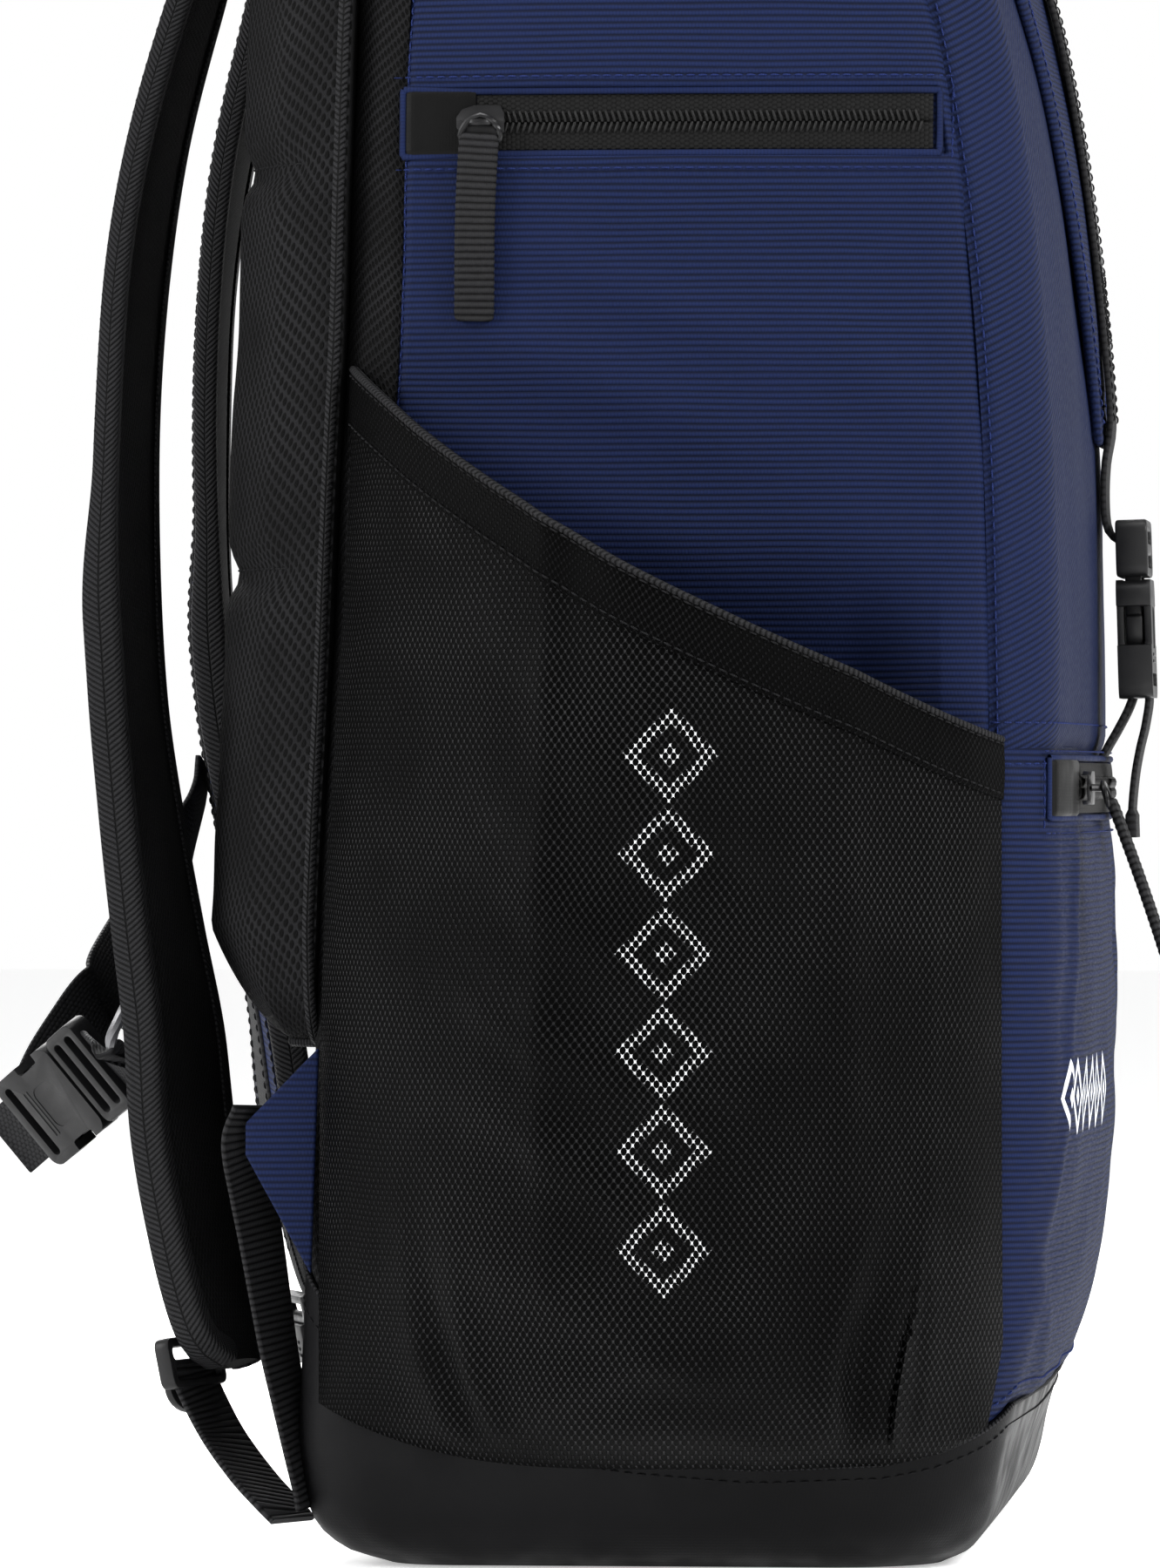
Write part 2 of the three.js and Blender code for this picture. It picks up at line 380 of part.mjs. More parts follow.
// ---- shoulder straps ----
const strapAt = (z) => ({ x: -table(STRAP_UP, -z, 1), y: table(STRAP_UP, -z, 2), W: table(STRAP_UP, -z, 3), a: table(STRAP_UP, -z, 4) });
const STRAP_UP = STRAP.map(([z, ...r]) => [-z, ...r]);
{
  const st = STRAP.map(([z, x, y, W, a], i) => {
    const p = STRAP[Math.max(i - 1, 0)], n = STRAP[Math.min(i + 1, STRAP.length - 1)];
    const tan = new THREE.Vector3(-(n[1] - p[1]), n[2] - p[2], n[0] - p[0]).normalize();
    const r = a * Math.PI / 180;
    let w = new THREE.Vector3(Math.cos(r), -Math.sin(r), 0);
    w.sub(tan.clone().multiplyScalar(w.dot(tan))).normalize();
    return { c: [-x, y, z], w: w.toArray(), t: new THREE.Vector3().crossVectors(tan, w).toArray(), W, T: i === 0 ? 5 : STRAP_T };
  });
  pair("shoulder_strap", ribbon(st, 0.28), "air");
  add("harness_yoke", clean(bar(192, 20, 3.2, 6).rotateX(Math.PI / 2).translate(0, 92, 463.5)), "web");
  // lower webbing from the base corner up to the adjuster
  const low = [[-125.5, 129.5, 38.5], [-127, 125, 31], [-132, 117.5, 22], [-138, 109.2, 14]];
  pair("lower_webbing", ribbon(path(low, [0.95, -0.31, 0], WEB_T, WEB, 3)), "web");
}
// ladder-lock adjusters: a frame with two slots, hung under the strap's tip
const ADJ = { c: [-125.3, 122.4, 44.5], w: [0.951, -0.309, 0], up: [-0.05, 0.23, 0.97] };
const basis = (c, w, up) => { // local x = width, local y = along, local z = face
  const y = V(up).normalize(), x0 = V(w), x = x0.sub(y.clone().multiplyScalar(x0.dot(y))).normalize(), z = new THREE.Vector3().crossVectors(x, y);
  return new THREE.Matrix4().makeBasis(x, y, z).setPosition(...c);
};
{
  const frame = solid(bar(32, 13, 4.2, 3)).subtract(solid(bar(26.5, 3.2, 10, 1, 0, 2.4, 0))).subtract(solid(bar(26.5, 3.2, 10, 1, 0, -2.9, 0)));
  const lever = union(bar(24, 8, 2.2, 2, 0, -7.5, 3.2));
  // the face looks backwards, away from the bag
  const m = basis([-125, 134.2, 50.5], ADJ.w, ADJ.up);
  pair("strap_adjuster", geometry(frame.add(solid(bar(24, 11, 2.2, 2, 0, -7, -2.2)))).applyMatrix4(m), "pom");
}

// ---- 25 mm side-release buckle, in its own frame: y along the strap with the plug's end up, x across, z through ----
function buckle() {
  let socket = solid(bar(33, 31, 9, 3, 0, -15.5, 0, 2));
  socket = socket.subtract(solid(box(27.6, 23, 5.6, 0, -10.5, 0))); // the mouth, open at the top
  socket = socket.subtract(solid(box(40, 9, 4.4, 0, -12, 0))); // side windows
  socket = socket.subtract(solid(box(26.4, 3.4, 20, 0, -26.2, 0))); // strap slot
  let plug = solid(bar(33, 15, 8.4, 3, 0, 8.2, 0, 2));
  plug = plug.subtract(solid(box(26.4, 3.2, 20, 0, 4.9, 0))).subtract(solid(box(26.4, 3.2, 20, 0, 11.2, 0)));
  plug = plug.add(solid(box(4.2, 22, 4.2, -10.6, -8.5, 0))).add(solid(box(4.2, 22, 4.2, 10.6, -8.5, 0))).add(solid(box(4, 19, 4.2, 0, -7, 0)));
  plug = plug.add(solid(box(3, 6, 4.2, -12.2, -11.8, 0))).add(solid(box(3, 6, 4.2, 12.2, -11.8, 0)));
  return [socket, plug];
}
const [socket, plug] = buckle();

// ---- top lid ----
const lidPoly = [[HINGE_Y - 1, 479.5], [62, 479.5], [56, 446], [-20, 444], [-20, 540], [HINGE_Y - 1, 540]];
{
  const NQ = [0, 0.5, 1, 1.4, 2, 2.5, 3, 3.25, 3.5, 3.75, 4, 4.33, 4.66, 5];
  const loop = (z, off, dz = 0) => { const l = NQ.map((q) => bodyPoint(q, z, off, false)).map(([x, y, zz]) => [x, y, zz + dz]); return [...l, ...l.slice(1, -1).reverse().map(([x, y, zz]) => [-x, y, zz])]; };
  const zs = [270, 310, 350, 390, 420, 445, 465, 480, 492, 500, 504];
  const dome = (off) => solid(rings(zs.map((z) => loop(z, off * 1, Math.max(0, off) * smooth(440, 504, z) + 0.001))));
  let shell = dome(LID_GAP + LID_T).subtract(dome(LID_GAP).translate(0, 0, 0));
  // region of the lid: everything above the side skirt, plus the tapered tongue down the front
  const top = solid(prism([[HINGE_Y + 3, 482], [64, 482], [58, 447], [-30, 446], [-30, 560], [HINGE_Y + 3, 560]], "x", -200, 200));
  const tongue = [[-200, 560], [-200, 446], [-140, 444], [-118, 432], [-96, 412], [-74, 386], [-52, 352], [-36, 322], [-24, 300], [-18, 287], [18, 287], [24, 300], [36, 322], [52, 352], [74, 386], [96, 412], [118, 432], [140, 444], [200, 446], [200, 560]];
  const front = solid(prism(tongue, "y", -200, -29.9));
  const lid = shell.intersect(top.add(front));
  add("lid", geometry(lid), "navy");
}
// strap down the middle of the lid
const outerFront = (z) => { const zt = 1 - smooth(400, 470, z); return frontY(z) - FRONT_CROWN * zt; };
{
  const pts = [];
  for (const z of [452, 430, 405, 375, 345, 315, 292]) pts.push([0, outerFront(z) - LID_GAP - LID_T - 1.6, z]);
  pts.push([0, -92.9, 281], [0, -92.6, 271], [0, -92.6, 262]);
  add("lid_strap", ribbon(path(pts, [1, 0, 0], WEB_T, WEB, 2)), "web");
}
const FB = new THREE.Matrix4().makeTranslation(0, -100.4, 250.5).multiply(new THREE.Matrix4().makeRotationX(Math.PI / 2 - 0.03)).multiply(new THREE.Matrix4().makeScale(1, 1, 1));
{ // local y -> z, local z -> -y
  add("front_buckle_plug", geometry(plug).applyMatrix4(FB), "pom");
  add("front_buckle_socket", geometry(socket).applyMatrix4(FB), "pom");
  const low = [[0, -93.4, 206.6], [0, -96.2, 211.5], [0, -99.4, 217]];
  add("front_lower_webbing", ribbon(path(low, [1, 0, 0], WEB_T, WEB, 3)), "web");
  const tail = [[0, -103.4, 217.5], [0, -102, 209], [0, -100.4, 199], [0, -99, 190], [0, -98, 183]];
  add("front_strap_tail", ribbon(path(tail, [1, 0, 0], WEB_T, WEB, 2)), "web");
}

// ---- sternum strap ----
const SB = { a: [40, 35, -27], w: [0, -0.664, -0.747] };
const SBo = [-68, 169.5, 120.5], SBs = 0.82; // where the two halves meet
const smat = (() => { const y = V(SB.a).normalize().negate(), x0 = V(SB.w).negate(), x = x0.sub(y.clone().multiplyScalar(x0.dot(y))).normalize(), z = new THREE.Vector3().crossVectors(x, y); return new THREE.Matrix4().makeBasis(x, y, z).scale(new THREE.Vector3(SBs, SBs, SBs)).setPosition(...SBo); })();
{
  add("sternum_buckle_plug", geometry(plug).applyMatrix4(smat), "pom");
  add("sternum_buckle_socket", geometry(socket).applyMatrix4(smat), "pom");
  const upL = [[-97, 157.2, 205], [-97, 156.8, 196], [-96.5, 155.4, 180], [-95.5, 153.6, 164], [-94.5, 152.6, 152], [-93.3, 152.4, 144]];
  add("sternum_webbing_left", ribbon(path(upL, [1, -0.05, 0], WEB_T, 20, 2)), "web");
  const glide = solid(bar(26, 17, 3, 3, 0, 0, 0)).subtract(solid(box(21.5, 3.6, 10, 0, 4.2, 0))).subtract(solid(box(21.5, 3.6, 10, 0, -4.2, 0)));
  add("sternum_glide_left", geometry(glide).applyMatrix4(basis([-89.5, 153.6, 133.6], [0.96, -0.2, -0.25], [-0.22, -0.32, 0.93])), "pom");
  const rp = [[92, 157.6, 203], [90, 158, 195], [82, 160.5, 184], [62, 163, 172], [30, 166.5, 158], [0, 171, 145], [-20, 176.5, 132]];
  add("sternum_webbing_right", ribbon(path(rp, (t) => t < 0.25 ? [lerp(1, 0.3, t * 4), 0, -t * 3] : [lerp(0.3, 0, (t - 0.25) / 0.75), lerp(0.05, -0.55, (t - 0.25) / 0.75), -0.8], WEB_T, 20, 3)), "web");
}

// ---- haul loop and side loops ----
{
  const loop = [[-27, 98.5, 465], [-28, 104, 461], [-26, 112, 456], [-16, 118.5, 452], [0, 121, 450.5], [16, 118.5, 452], [26, 112, 456], [28, 104, 461], [27, 98.5, 465]];
  add("haul_loop", ribbon(path(loop, [0, 0.5, 0.86], 3, 14, 2)), "web");
  const wing = [[-152, 119.6, 116], [-149, 120.8, 108], [-146, 119.2, 94], [-145, 116.4, 79], [-144.5, 113.8, 66], [-144.5, 112, 57]];
  pair("wing_webbing", ribbon(path(wing, [0.98, -0.2, 0.05], WEB_T, 18, 2)), "web");
  pair("wing_tab", clean(prism([[98, 131], [116.5, 112], [116.5, 104], [100, 74]], "x", -157.5, -154.5)), "navy");
}

// the origin is the middle of the overall size in x and y, on the underside
const all = new THREE.Box3().setFromObject(bag), shiftY = -(all.min.y + all.max.y) / 2;
bag.traverse((o) => { if (o.isMesh) o.geometry.translate(0, shiftY, 0); });
bag.userData = { shiftY, frontR: FRONT_R, pocketFront: pocketY(0, FZ, 0), sliderY: pocketY(-100, FZ, 2.9), sideX: tapeX(30, 2.6) };

export default bag;
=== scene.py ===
# Sports backpack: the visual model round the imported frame. Lengths in the helpers are millimetres
# in the part's own drawing frame; M() moves them to metres in the row frame.
import math
import bpy, bmesh
import numpy as np
from mathutils import Vector, Matrix, noise


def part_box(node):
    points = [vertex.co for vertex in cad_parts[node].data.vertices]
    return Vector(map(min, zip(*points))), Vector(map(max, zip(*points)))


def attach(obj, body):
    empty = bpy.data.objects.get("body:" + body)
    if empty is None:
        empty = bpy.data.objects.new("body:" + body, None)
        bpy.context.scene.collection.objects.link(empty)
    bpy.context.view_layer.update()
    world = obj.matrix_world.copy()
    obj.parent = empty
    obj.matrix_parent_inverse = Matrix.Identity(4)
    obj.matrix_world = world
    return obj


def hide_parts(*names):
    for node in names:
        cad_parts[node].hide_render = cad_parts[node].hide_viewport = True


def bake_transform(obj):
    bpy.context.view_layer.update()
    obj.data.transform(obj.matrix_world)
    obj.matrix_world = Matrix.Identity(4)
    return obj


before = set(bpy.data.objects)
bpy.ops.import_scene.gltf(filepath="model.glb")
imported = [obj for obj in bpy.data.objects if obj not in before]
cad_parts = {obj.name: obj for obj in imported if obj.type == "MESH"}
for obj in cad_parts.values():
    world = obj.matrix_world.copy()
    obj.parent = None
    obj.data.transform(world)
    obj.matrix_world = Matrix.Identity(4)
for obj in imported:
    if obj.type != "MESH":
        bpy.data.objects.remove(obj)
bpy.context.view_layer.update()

_lo, _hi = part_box("front_inner_panel")
S = (_lo[1] + _hi[1]) / 2 * 1000 + 66.0


def M(p):
    p = np.asarray(p, float).reshape(-1, 3)
    return np.stack([p[:, 0], p[:, 1] + S, p[:, 2]], 1) / 1000


# ------------------------------------------------------------------ form of the bag
BODY = np.array([
    [0, 136, -56, 84], [4, 146, -63.5, 94], [12, 153.5, -68.5, 101.5], [28, 157.5, -72, 104.5], [45, 159, -76, 104],
    [65, 160, -80.5, 103], [90, 160.5, -83.5, 102], [130, 161, -85.5, 100], [180, 161, -86, 98],
    [220, 160.5, -86, 96], [270, 159, -85, 94], [310, 157, -82.5, 92], [350, 154.5, -78, 91],
    [390, 151, -71, 90], [420, 147, -62.5, 89], [445, 141, -51, 88.5], [465, 133, -37, 88],
    [480, 123, -20, 87.5], [492, 108, 4, 84], [500, 86, 28, 77], [504, 58, 42, 69]], float)
STRAP = np.array([
    [470, 63, 101.5, 50, 0], [454, 65, 118, 55, 0], [430, 68, 131, 59, 0], [399, 73, 140.5, 62, 1], [365, 79, 149, 63, 2],
    [331, 85, 154, 63, 3], [297, 90, 156, 62, 3], [257, 95, 156, 61, 4], [220, 99, 153.5, 60, 4],
    [190, 103, 149.5, 58, 6], [160, 108, 144.5, 56, 9], [135, 112, 140, 54, 12], [108, 116, 137, 51, 15], [83, 120, 132, 48, 17],
    [63, 123, 127, 44, 18], [50, 125, 123, 36, 18]], float)
HEM = np.array([[-86, 206], [-75, 207.5], [-40, 224], [-10, 238], [18, 252], [45, 268], [70, 285], [84, 296], [96, 306]], float)


def sampled(tab):  # Catmull-Rom through a table's rows, sampled once for np.interp
    x = tab[:, 0]
    xs = np.linspace(x[0], x[-1], 3000)
    out = []
    for k in range(1, tab.shape[1]):
        y = tab[:, k]
        s = np.array([(y[min(j + 1, len(x) - 1)] - y[max(j - 1, 0)]) / (x[min(j + 1, len(x) - 1)] - x[max(j - 1, 0)]) for j in range(len(x))])
        i = np.clip(np.searchsorted(x, xs, "right") - 1, 0, len(x) - 2)
        h = x[i + 1] - x[i]
        t = (xs - x[i]) / h
        out.append((2 * t**3 - 3 * t**2 + 1) * y[i] + (t**3 - 2 * t**2 + t) * h * s[i] + (-2 * t**3 + 3 * t**2) * y[i + 1] + (t**3 - t**2) * h * s[i + 1])
    return xs, out


_bz, (_bw, _bf, _bb) = sampled(BODY)
_hy, (_hz,) = sampled(HEM)
_st = STRAP[::-1]
_sz, (_sx, _sy, _sw, _sa) = sampled(_st)
halfW = lambda z: np.interp(z, _bz, _bw)
frontY = lambda z: np.interp(z, _bz, _bf)
backY = lambda z: np.interp(z, _bz, _bb)
hemZ = lambda y: np.interp(y, _hy, _hz)


def smooth(a, b, x):
    t = np.clip((np.asarray(x, float) - a) / (b - a), 0, 1)
    return t * t * (3 - 2 * t)


def lerp(a, b, t):
    return a + (b - a) * t


def radii(z):
    m = 0.46 * np.minimum(halfW(z), (backY(z) - frontY(z)) / 2)
    return np.minimum(18, m), np.minimum(28, m)


def recess(y, z):
    return 16 * smooth(-62, -34, y) * (1 - smooth(24, 54, y)) * smooth(22, 52, z) * (1 - smooth(205, 262, z))


def body(q, z, off, rec=True, front=5.0):
    """Left half of the bag's outline: q 0-1 back, 1-2 back corner, 2-3 side, 3-4 front corner, 4-5 front."""
    q, z, off = np.broadcast_arrays(np.asarray(q, float), np.asarray(z, float), np.asarray(off, float))
    W, yf, yb = halfW(z) + off, frontY(z) - off, backY(z) + off
    rb, rf = radii(z)
    rb, rf = rb + off, rf + off
    zt = 1 - smooth(400, 470, z)
    a1, a2 = (q - 1) * np.pi / 2, (q - 3) * np.pi / 2
    t2, t4 = np.clip(q - 2, 0, 1), np.clip(q - 4, 0, 1)
    ys = lerp(yb - rb, yf + rf, t2)
    c2 = 3 * 4 * t2 * (1 - t2) * smooth(0, 40, z) * zt
    c4 = front * (1 - (1 - t4) ** 2) * smooth(0, 60, z) * zt
    x = np.select([q <= 1, q <= 2, q <= 3, q <= 4], [-(W - rb) * q, -(W - rb) - rb * np.sin(a1), -(W + c2 - (recess(ys, z) if rec else 0)), -(W - rf) - rf * np.cos(a2)], -(W - rf) * (1 - t4))
    y = np.select([q <= 1, q <= 2, q <= 3, q <= 4], [yb, yb - rb + rb * np.cos(a1), ys, yf + rf - rf * np.sin(a2)], yf - c4)
    return np.stack([x, y, z * np.ones_like(x)], -1)


def sideX(y, z, off=0):
    W, yf, yb = halfW(z), frontY(z), backY(z)
    rb, rf = radii(z)
    db, df = np.clip(y - (yb - rb), 0, rb), np.clip(yf + rf - y, 0, rf)
    t = np.clip((yb - rb - y) / (yb - rb - yf - rf), 0, 1)
    side = W + 12 * t * (1 - t) * smooth(0, 40, z) * (1 - smooth(400, 470, z)) - recess(y, z)
    x = np.where(y > yb - rb, W - rb + np.sqrt(np.maximum(rb * rb - db * db, 0)), np.where(y < yf + rf, W - rf + np.sqrt(np.maximum(rf * rf - df * df, 0)), side))
    return x + off


def baseTop(q):
    return np.interp(q, [0.7, 1.3, 1.9, 2.02, 2.1, 2.3, 2.5, 2.75, 3.0, 3.3, 3.6, 3.9, 5], [84, 73, 60, 50, 41, 33, 28.5, 25.5, 27, 30, 35, 41, 42])


QB, QF = 1.86, 3.3
RIM, RIM_BACK, POCKET_TOP = 462, 477, 206
rimAt = lambda q: lerp(RIM_BACK, RIM, smooth(1.6, 2.35, q))
pocket_back = lambda z: lerp(98, 90, smooth(120, 300, z))
pocket_front = lambda z: np.maximum(-73.5, frontY(z) + 6)


def pocket(u, v, off, drop=0.0):
    u, v = np.broadcast_arrays(np.asarray(u, float), np.asarray(v, float))
    yt = lerp(pocket_back(290.0), pocket_front(206.0), u)
    zt = hemZ(yt) - drop
    zb = 27 + 16 * np.abs(2 * u - 1) ** 3
    z = lerp(zb, zt, v)
    y = lerp(pocket_back(z), pocket_front(z), u)
    root = sideX(y, z)
    flat = root + recess(y, z)
    across = np.sin(np.pi * np.clip(0.04 + 0.92 * u**1.02, 0, 1)) ** 0.75
    a0 = math.sin(math.pi * 0.04) ** 0.75
    up = np.sqrt(np.maximum(0, 1 - (1 - np.clip(v / 0.3, 0, 1)) ** 2))
    s = 60 * np.maximum(0, (across - a0) / (1 - a0)) * up * lerp(1, 0.94, smooth(0.6, 1, v))
    x = lerp(root, flat, smooth(0, 14, s)) + s + off + 2.6 * smooth(0.8, 1, u)
    return np.stack([-x, y, z], -1)


def fbm(P, scale, seed=0.0, octaves=2):
    """Smooth noise, about -1 to 1, at points in mm."""
    out = np.empty(len(P))
    o = Vector((seed * 17.3, seed * 5.1, seed * 9.7))
    for i, p in enumerate(P):
        v = Vector(p) / scale + o
        a = noise.noise(v)
        if octaves > 1:
            a += 0.45 * noise.noise(v * 2.1)
        out[i] = a
    return out


# ------------------------------------------------------------------ materials
class Mat:
    def __init__(self, name, rough=0.8, spec=0.5, metal=0.0, sheen=0.0, sheen_rough=0.4, coat=0.0):
        self.m = bpy.data.materials.new(name)
        self.m.use_nodes = True
        self.t = self.m.node_tree
        self.b = next(n for n in self.t.nodes if n.type == "BSDF_PRINCIPLED")
        self.b.inputs["Roughness"].default_value = rough
        self.b.inputs["Specular IOR Level"].default_value = spec
        self.b.inputs["Metallic"].default_value = metal
        self.b.inputs["Sheen Weight"].default_value = sheen
        self.b.inputs["Sheen Roughness"].default_value = sheen_rough
        self.b.inputs["Coat Weight"].default_value = coat
        if spec < 0.11:
            self.b.inputs["IOR"].default_value = 1.16
            self.b.inputs["Specular IOR Level"].default_value = 0.5

    def node(self, kind, **props):
        n = self.t.nodes.new(kind)
        for k, v in props.items():
            setattr(n, k, v)
        return n

    def put(self, sock, v):
        if isinstance(v, bpy.types.NodeSocket):
            self.t.links.new(v, sock)
        else:
            sock.default_value = v

    def f(self, op, a, b=None, c=None, clamp=False):
        n = self.node("ShaderNodeMath", operation=op, use_clamp=clamp)
        for s, v in zip(n.inputs, (a, b, c)):
            if v is not None:
                self.put(s, v)
        return n.outputs[0]

    def add(self, a, b): return self.f("ADD", a, b)
    def sub(self, a, b): return self.f("SUBTRACT", a, b)
    def mul(self, a, b): return self.f("MULTIPLY", a, b)

    def uv(self):
        n = self.node("ShaderNodeUVMap", uv_map="mm")
        s = self.node("ShaderNodeSeparateXYZ")
        self.t.links.new(n.outputs[0], s.inputs[0])
        return s.outputs[0], s.outputs[1]

    def uvvec(self):
        return self.node("ShaderNodeUVMap", uv_map="mm").outputs[0]

    def obj(self):  # millimetres
        n = self.node("ShaderNodeTexCoord")
        m = self.node("ShaderNodeVectorMath", operation="SCALE")
        self.t.links.new(n.outputs["Object"], m.inputs[0])
        m.inputs["Scale"].default_value = 1000
        return m.outputs[0]

    def sep(self, v):
        s = self.node("ShaderNodeSeparateXYZ")
        self.t.links.new(v, s.inputs[0])
        return s.outputs

    def vec(self, x, y, z=0.0):
        s = self.node("ShaderNodeCombineXYZ")
        for a, b in zip(s.inputs, (x, y, z)):
            self.put(a, b)
        return s.outputs[0]

    def noise(self, vec, size, detail=2.0, rough=0.5, dist=0.0):
        n = self.node("ShaderNodeTexNoise")
        self.t.links.new(vec, n.inputs["Vector"])
        n.inputs["Scale"].default_value = 1.0 / size
        n.inputs["Detail"].default_value = detail
        n.inputs["Roughness"].default_value = rough
        n.inputs["Distortion"].default_value = dist
        return n.outputs[0]

    def step(self, x, a, b, lo=0.0, hi=1.0):
        n = self.node("ShaderNodeMapRange", interpolation_type="SMOOTHSTEP")
        for s, v in zip(n.inputs, (x, a, b, lo, hi)):
            self.put(s, v)
        return n.outputs[0]

    def mix(self, fac, a, b):
        n = self.node("ShaderNodeMix", data_type="RGBA", clamp_factor=True)
        self.put(n.inputs[0], fac)
        for s, v in ((n.inputs[6], a), (n.inputs[7], b)):
            self.put(s, (*v, 1.0) if isinstance(v, (tuple, list)) and len(v) == 3 else v)
        return n.outputs[2]

    def fract(self, a): return self.f("FRACT", a)

    def cord(self, a, pitch):  # rounded ribs, 0 to 1
        s = self.f("SINE", self.mul(a, math.pi / pitch))
        return self.f("ABSOLUTE", s)

    def dots(self, u, v, pu, pv, r0, r1, squash=1.0):
        """Two staggered lattices of holes: 1 inside a hole, 0 on the thread."""
        def one(du, dv):
            a = self.sub(self.fract(self.add(self.mul(u, 1 / pu), du)), 0.5)
            b = self.mul(self.sub(self.fract(self.add(self.mul(v, 1 / pv), dv)), 0.5), squash)
            return self.f("SQRT", self.add(self.mul(a, a), self.mul(b, b)))
        d = self.f("MINIMUM", one(0.0, 0.0), one(0.5, 0.5))
        return self.step(d, r0, r1, 1.0, 0.0)

    def done(self, color, height=None, dist=0.3, strength=1.0, rough=None):
        self.put(self.b.inputs["Base Color"], color if not isinstance(color, tuple) else (*color, 1.0))
        if rough is not None:
            self.put(self.b.inputs["Roughness"], rough)
        if height is not None:
            n = self.node("ShaderNodeBump")
            n.inputs["Strength"].default_value = strength
            n.inputs["Distance"].default_value = dist / 1000
            self.put(n.inputs["Height"], height)
            self.t.links.new(n.outputs[0], self.b.inputs["Normal"])
        return self.m


def lin(r, g, b):  # sRGB 0-255 to linear
    return tuple(((c / 255) / 12.92 if c / 255 <= 0.04045 else ((c / 255 + 0.055) / 1.055) ** 2.4) for c in (r, g, b))


# shaded and lit ends of the navy: painted shade for the rib grooves, painted highlight for the rib tops
NAVY_SHADED, NAVY_LIT = lin(8, 13, 30), lin(21, 31, 64)


def navy(name, angle=0.0, marks=None):
    """Ribbed polyester; the ribs run along u, turned by angle. Its colour has a painted highlight on the rib tops and
    painted shade in the grooves.
    """
    k = Mat(name, rough=0.74, spec=0.06, sheen=0.0)
    u0, v0 = k.uv()
    c, s = math.cos(angle), math.sin(angle)
    u = k.add(k.mul(u0, c), k.mul(v0, s))
    v = k.sub(k.mul(v0, c), k.mul(u0, s))
    o = k.obj()
    wob = k.mul(k.sub(k.noise(k.vec(k.mul(u, 0.25), v), 14, 1), 0.5), 1.1)
    v = k.add(v, wob)
    pitch = 1.62
    rib = k.cord(v, pitch)
    row = k.f("FLOOR", k.mul(v, 1 / pitch))
    cross = k.cord(k.add(u, k.mul(row, 0.43)), 0.86)
    irr = k.noise(k.vec(k.mul(u, 0.12), v), 0.6, 1)  # slubs in single threads
    h = k.add(k.mul(rib, 0.72), k.mul(k.mul(cross, rib), 0.28))
    # tone: rib height as a painted highlight on the tops and painted shade in the grooves, plus the slubs' own colour
    tone = k.add(k.mul(h, 0.72), k.mul(irr, 0.22))
    big = k.noise(o, 46, 3)
    col = k.mix(k.step(tone, 0.18, 1.0), NAVY_SHADED, NAVY_LIT)
    col = k.mix(k.step(big, 0.35, 0.75, 0.0, 0.22), col, lin(18, 26, 56))
    if marks:
        U0, V0, PITCH = marks
        n = k.mul(k.sub(u0, U0), 1 / PITCH)
        a = k.f("ABSOLUTE", k.mul(k.sub(k.fract(n), 0.5), PITCH))
        b = k.f("ABSOLUTE", k.sub(v0, V0))
        d = k.add(k.mul(a, 2.02 / PITCH), k.mul(b, 1.86 / PITCH))
        ring = k.mul(k.step(d, 0.66, 0.69), k.step(d, 0.95, 0.98, 1.0, 0.0))
        ink = k.f("MAXIMUM", ring, k.step(d, 0.24, 0.28, 1.0, 0.0))
        ink = k.mul(ink, k.mul(k.step(n, 0.0, 0.01), k.step(n, 5.99, 6.0, 1.0, 0.0)))
        col = k.mix(k.mul(ink, k.step(h, 0.0, 0.25, 0.86, 1.0)), col, lin(214, 217, 221))
    return k.done(col, h, 0.3, 0.6, rough=k.step(irr, 0.2, 0.8, 0.62, 0.82))


def net(name, marks=False, fine=False):
    """Stretch net: knitted threads round staggered holes."""
    k = Mat(name, rough=0.5, spec=0.06, sheen=0.0)
    k.b.inputs["IOR"].default_value = 1.09
    u, v = k.uv()
    w = k.mul(k.sub(k.noise(k.uvvec(), 30, 1), 0.5), 3.0)
    u2, v2 = k.add(u, w), k.add(v, k.mul(w, 0.6))
    pu, pv = (2.15, 2.75) if not fine else (1.8, 2.3)
    hole = k.dots(u2, v2, pu, pv, 0.27, 0.43, 1.0)
    knit = k.cord(k.add(v2, k.mul(k.cord(u2, pu / 2), 0.35)), pv / 4)
    thread = k.sub(1.0, hole)
    h = k.add(k.mul(thread, 0.85), k.mul(k.mul(knit, thread), 0.15))
    tone = k.noise(k.obj(), 38, 2)
    tcol = k.mix(k.step(tone, 0.3, 0.7), *((lin(34, 34, 35), lin(54, 54, 55)) if not fine else (lin(18, 18, 19), lin(28, 28, 29))))
    # painted shade in the grooves between the knit loops
    tcol = k.mix(k.mul(k.sub(1.0, knit), 0.6), tcol, lin(3, 3, 4))
    # the holes are painted near black, as painted shade behind the net
    col = k.mix(hole, tcol, lin(1, 1, 1))
    if marks:
        # a plain column of rhomb outlines printed on the net
        U0, V0, PITCH = marks
        a = k.f("ABSOLUTE", k.sub(u, U0))
        vv = k.sub(v, V0)
        n = k.mul(vv, 1 / PITCH)
        b = k.f("ABSOLUTE", k.mul(k.sub(k.fract(n), 0.5), PITCH))
        d = k.add(k.mul(a, 1 / 13.0), k.mul(b, 1 / 12.2))
        ring = k.mul(k.step(d, 0.60, 0.66), k.step(d, 0.94, 1.0, 1.0, 0.0))
        core = k.step(d, 0.20, 0.27, 1.0, 0.0)
        ink = k.f("MAXIMUM", ring, core)
        inside = k.mul(k.step(n, 0.0, 0.01), k.step(n, 5.99, 6.0, 1.0, 0.0))
        ink = k.mul(k.mul(ink, inside), k.step(hole, 0.35, 0.6, 1.0, 0.0))
        col = k.mix(ink, col, lin(222, 224, 226))
    return k.done(col, h, 1.0, 1.0)


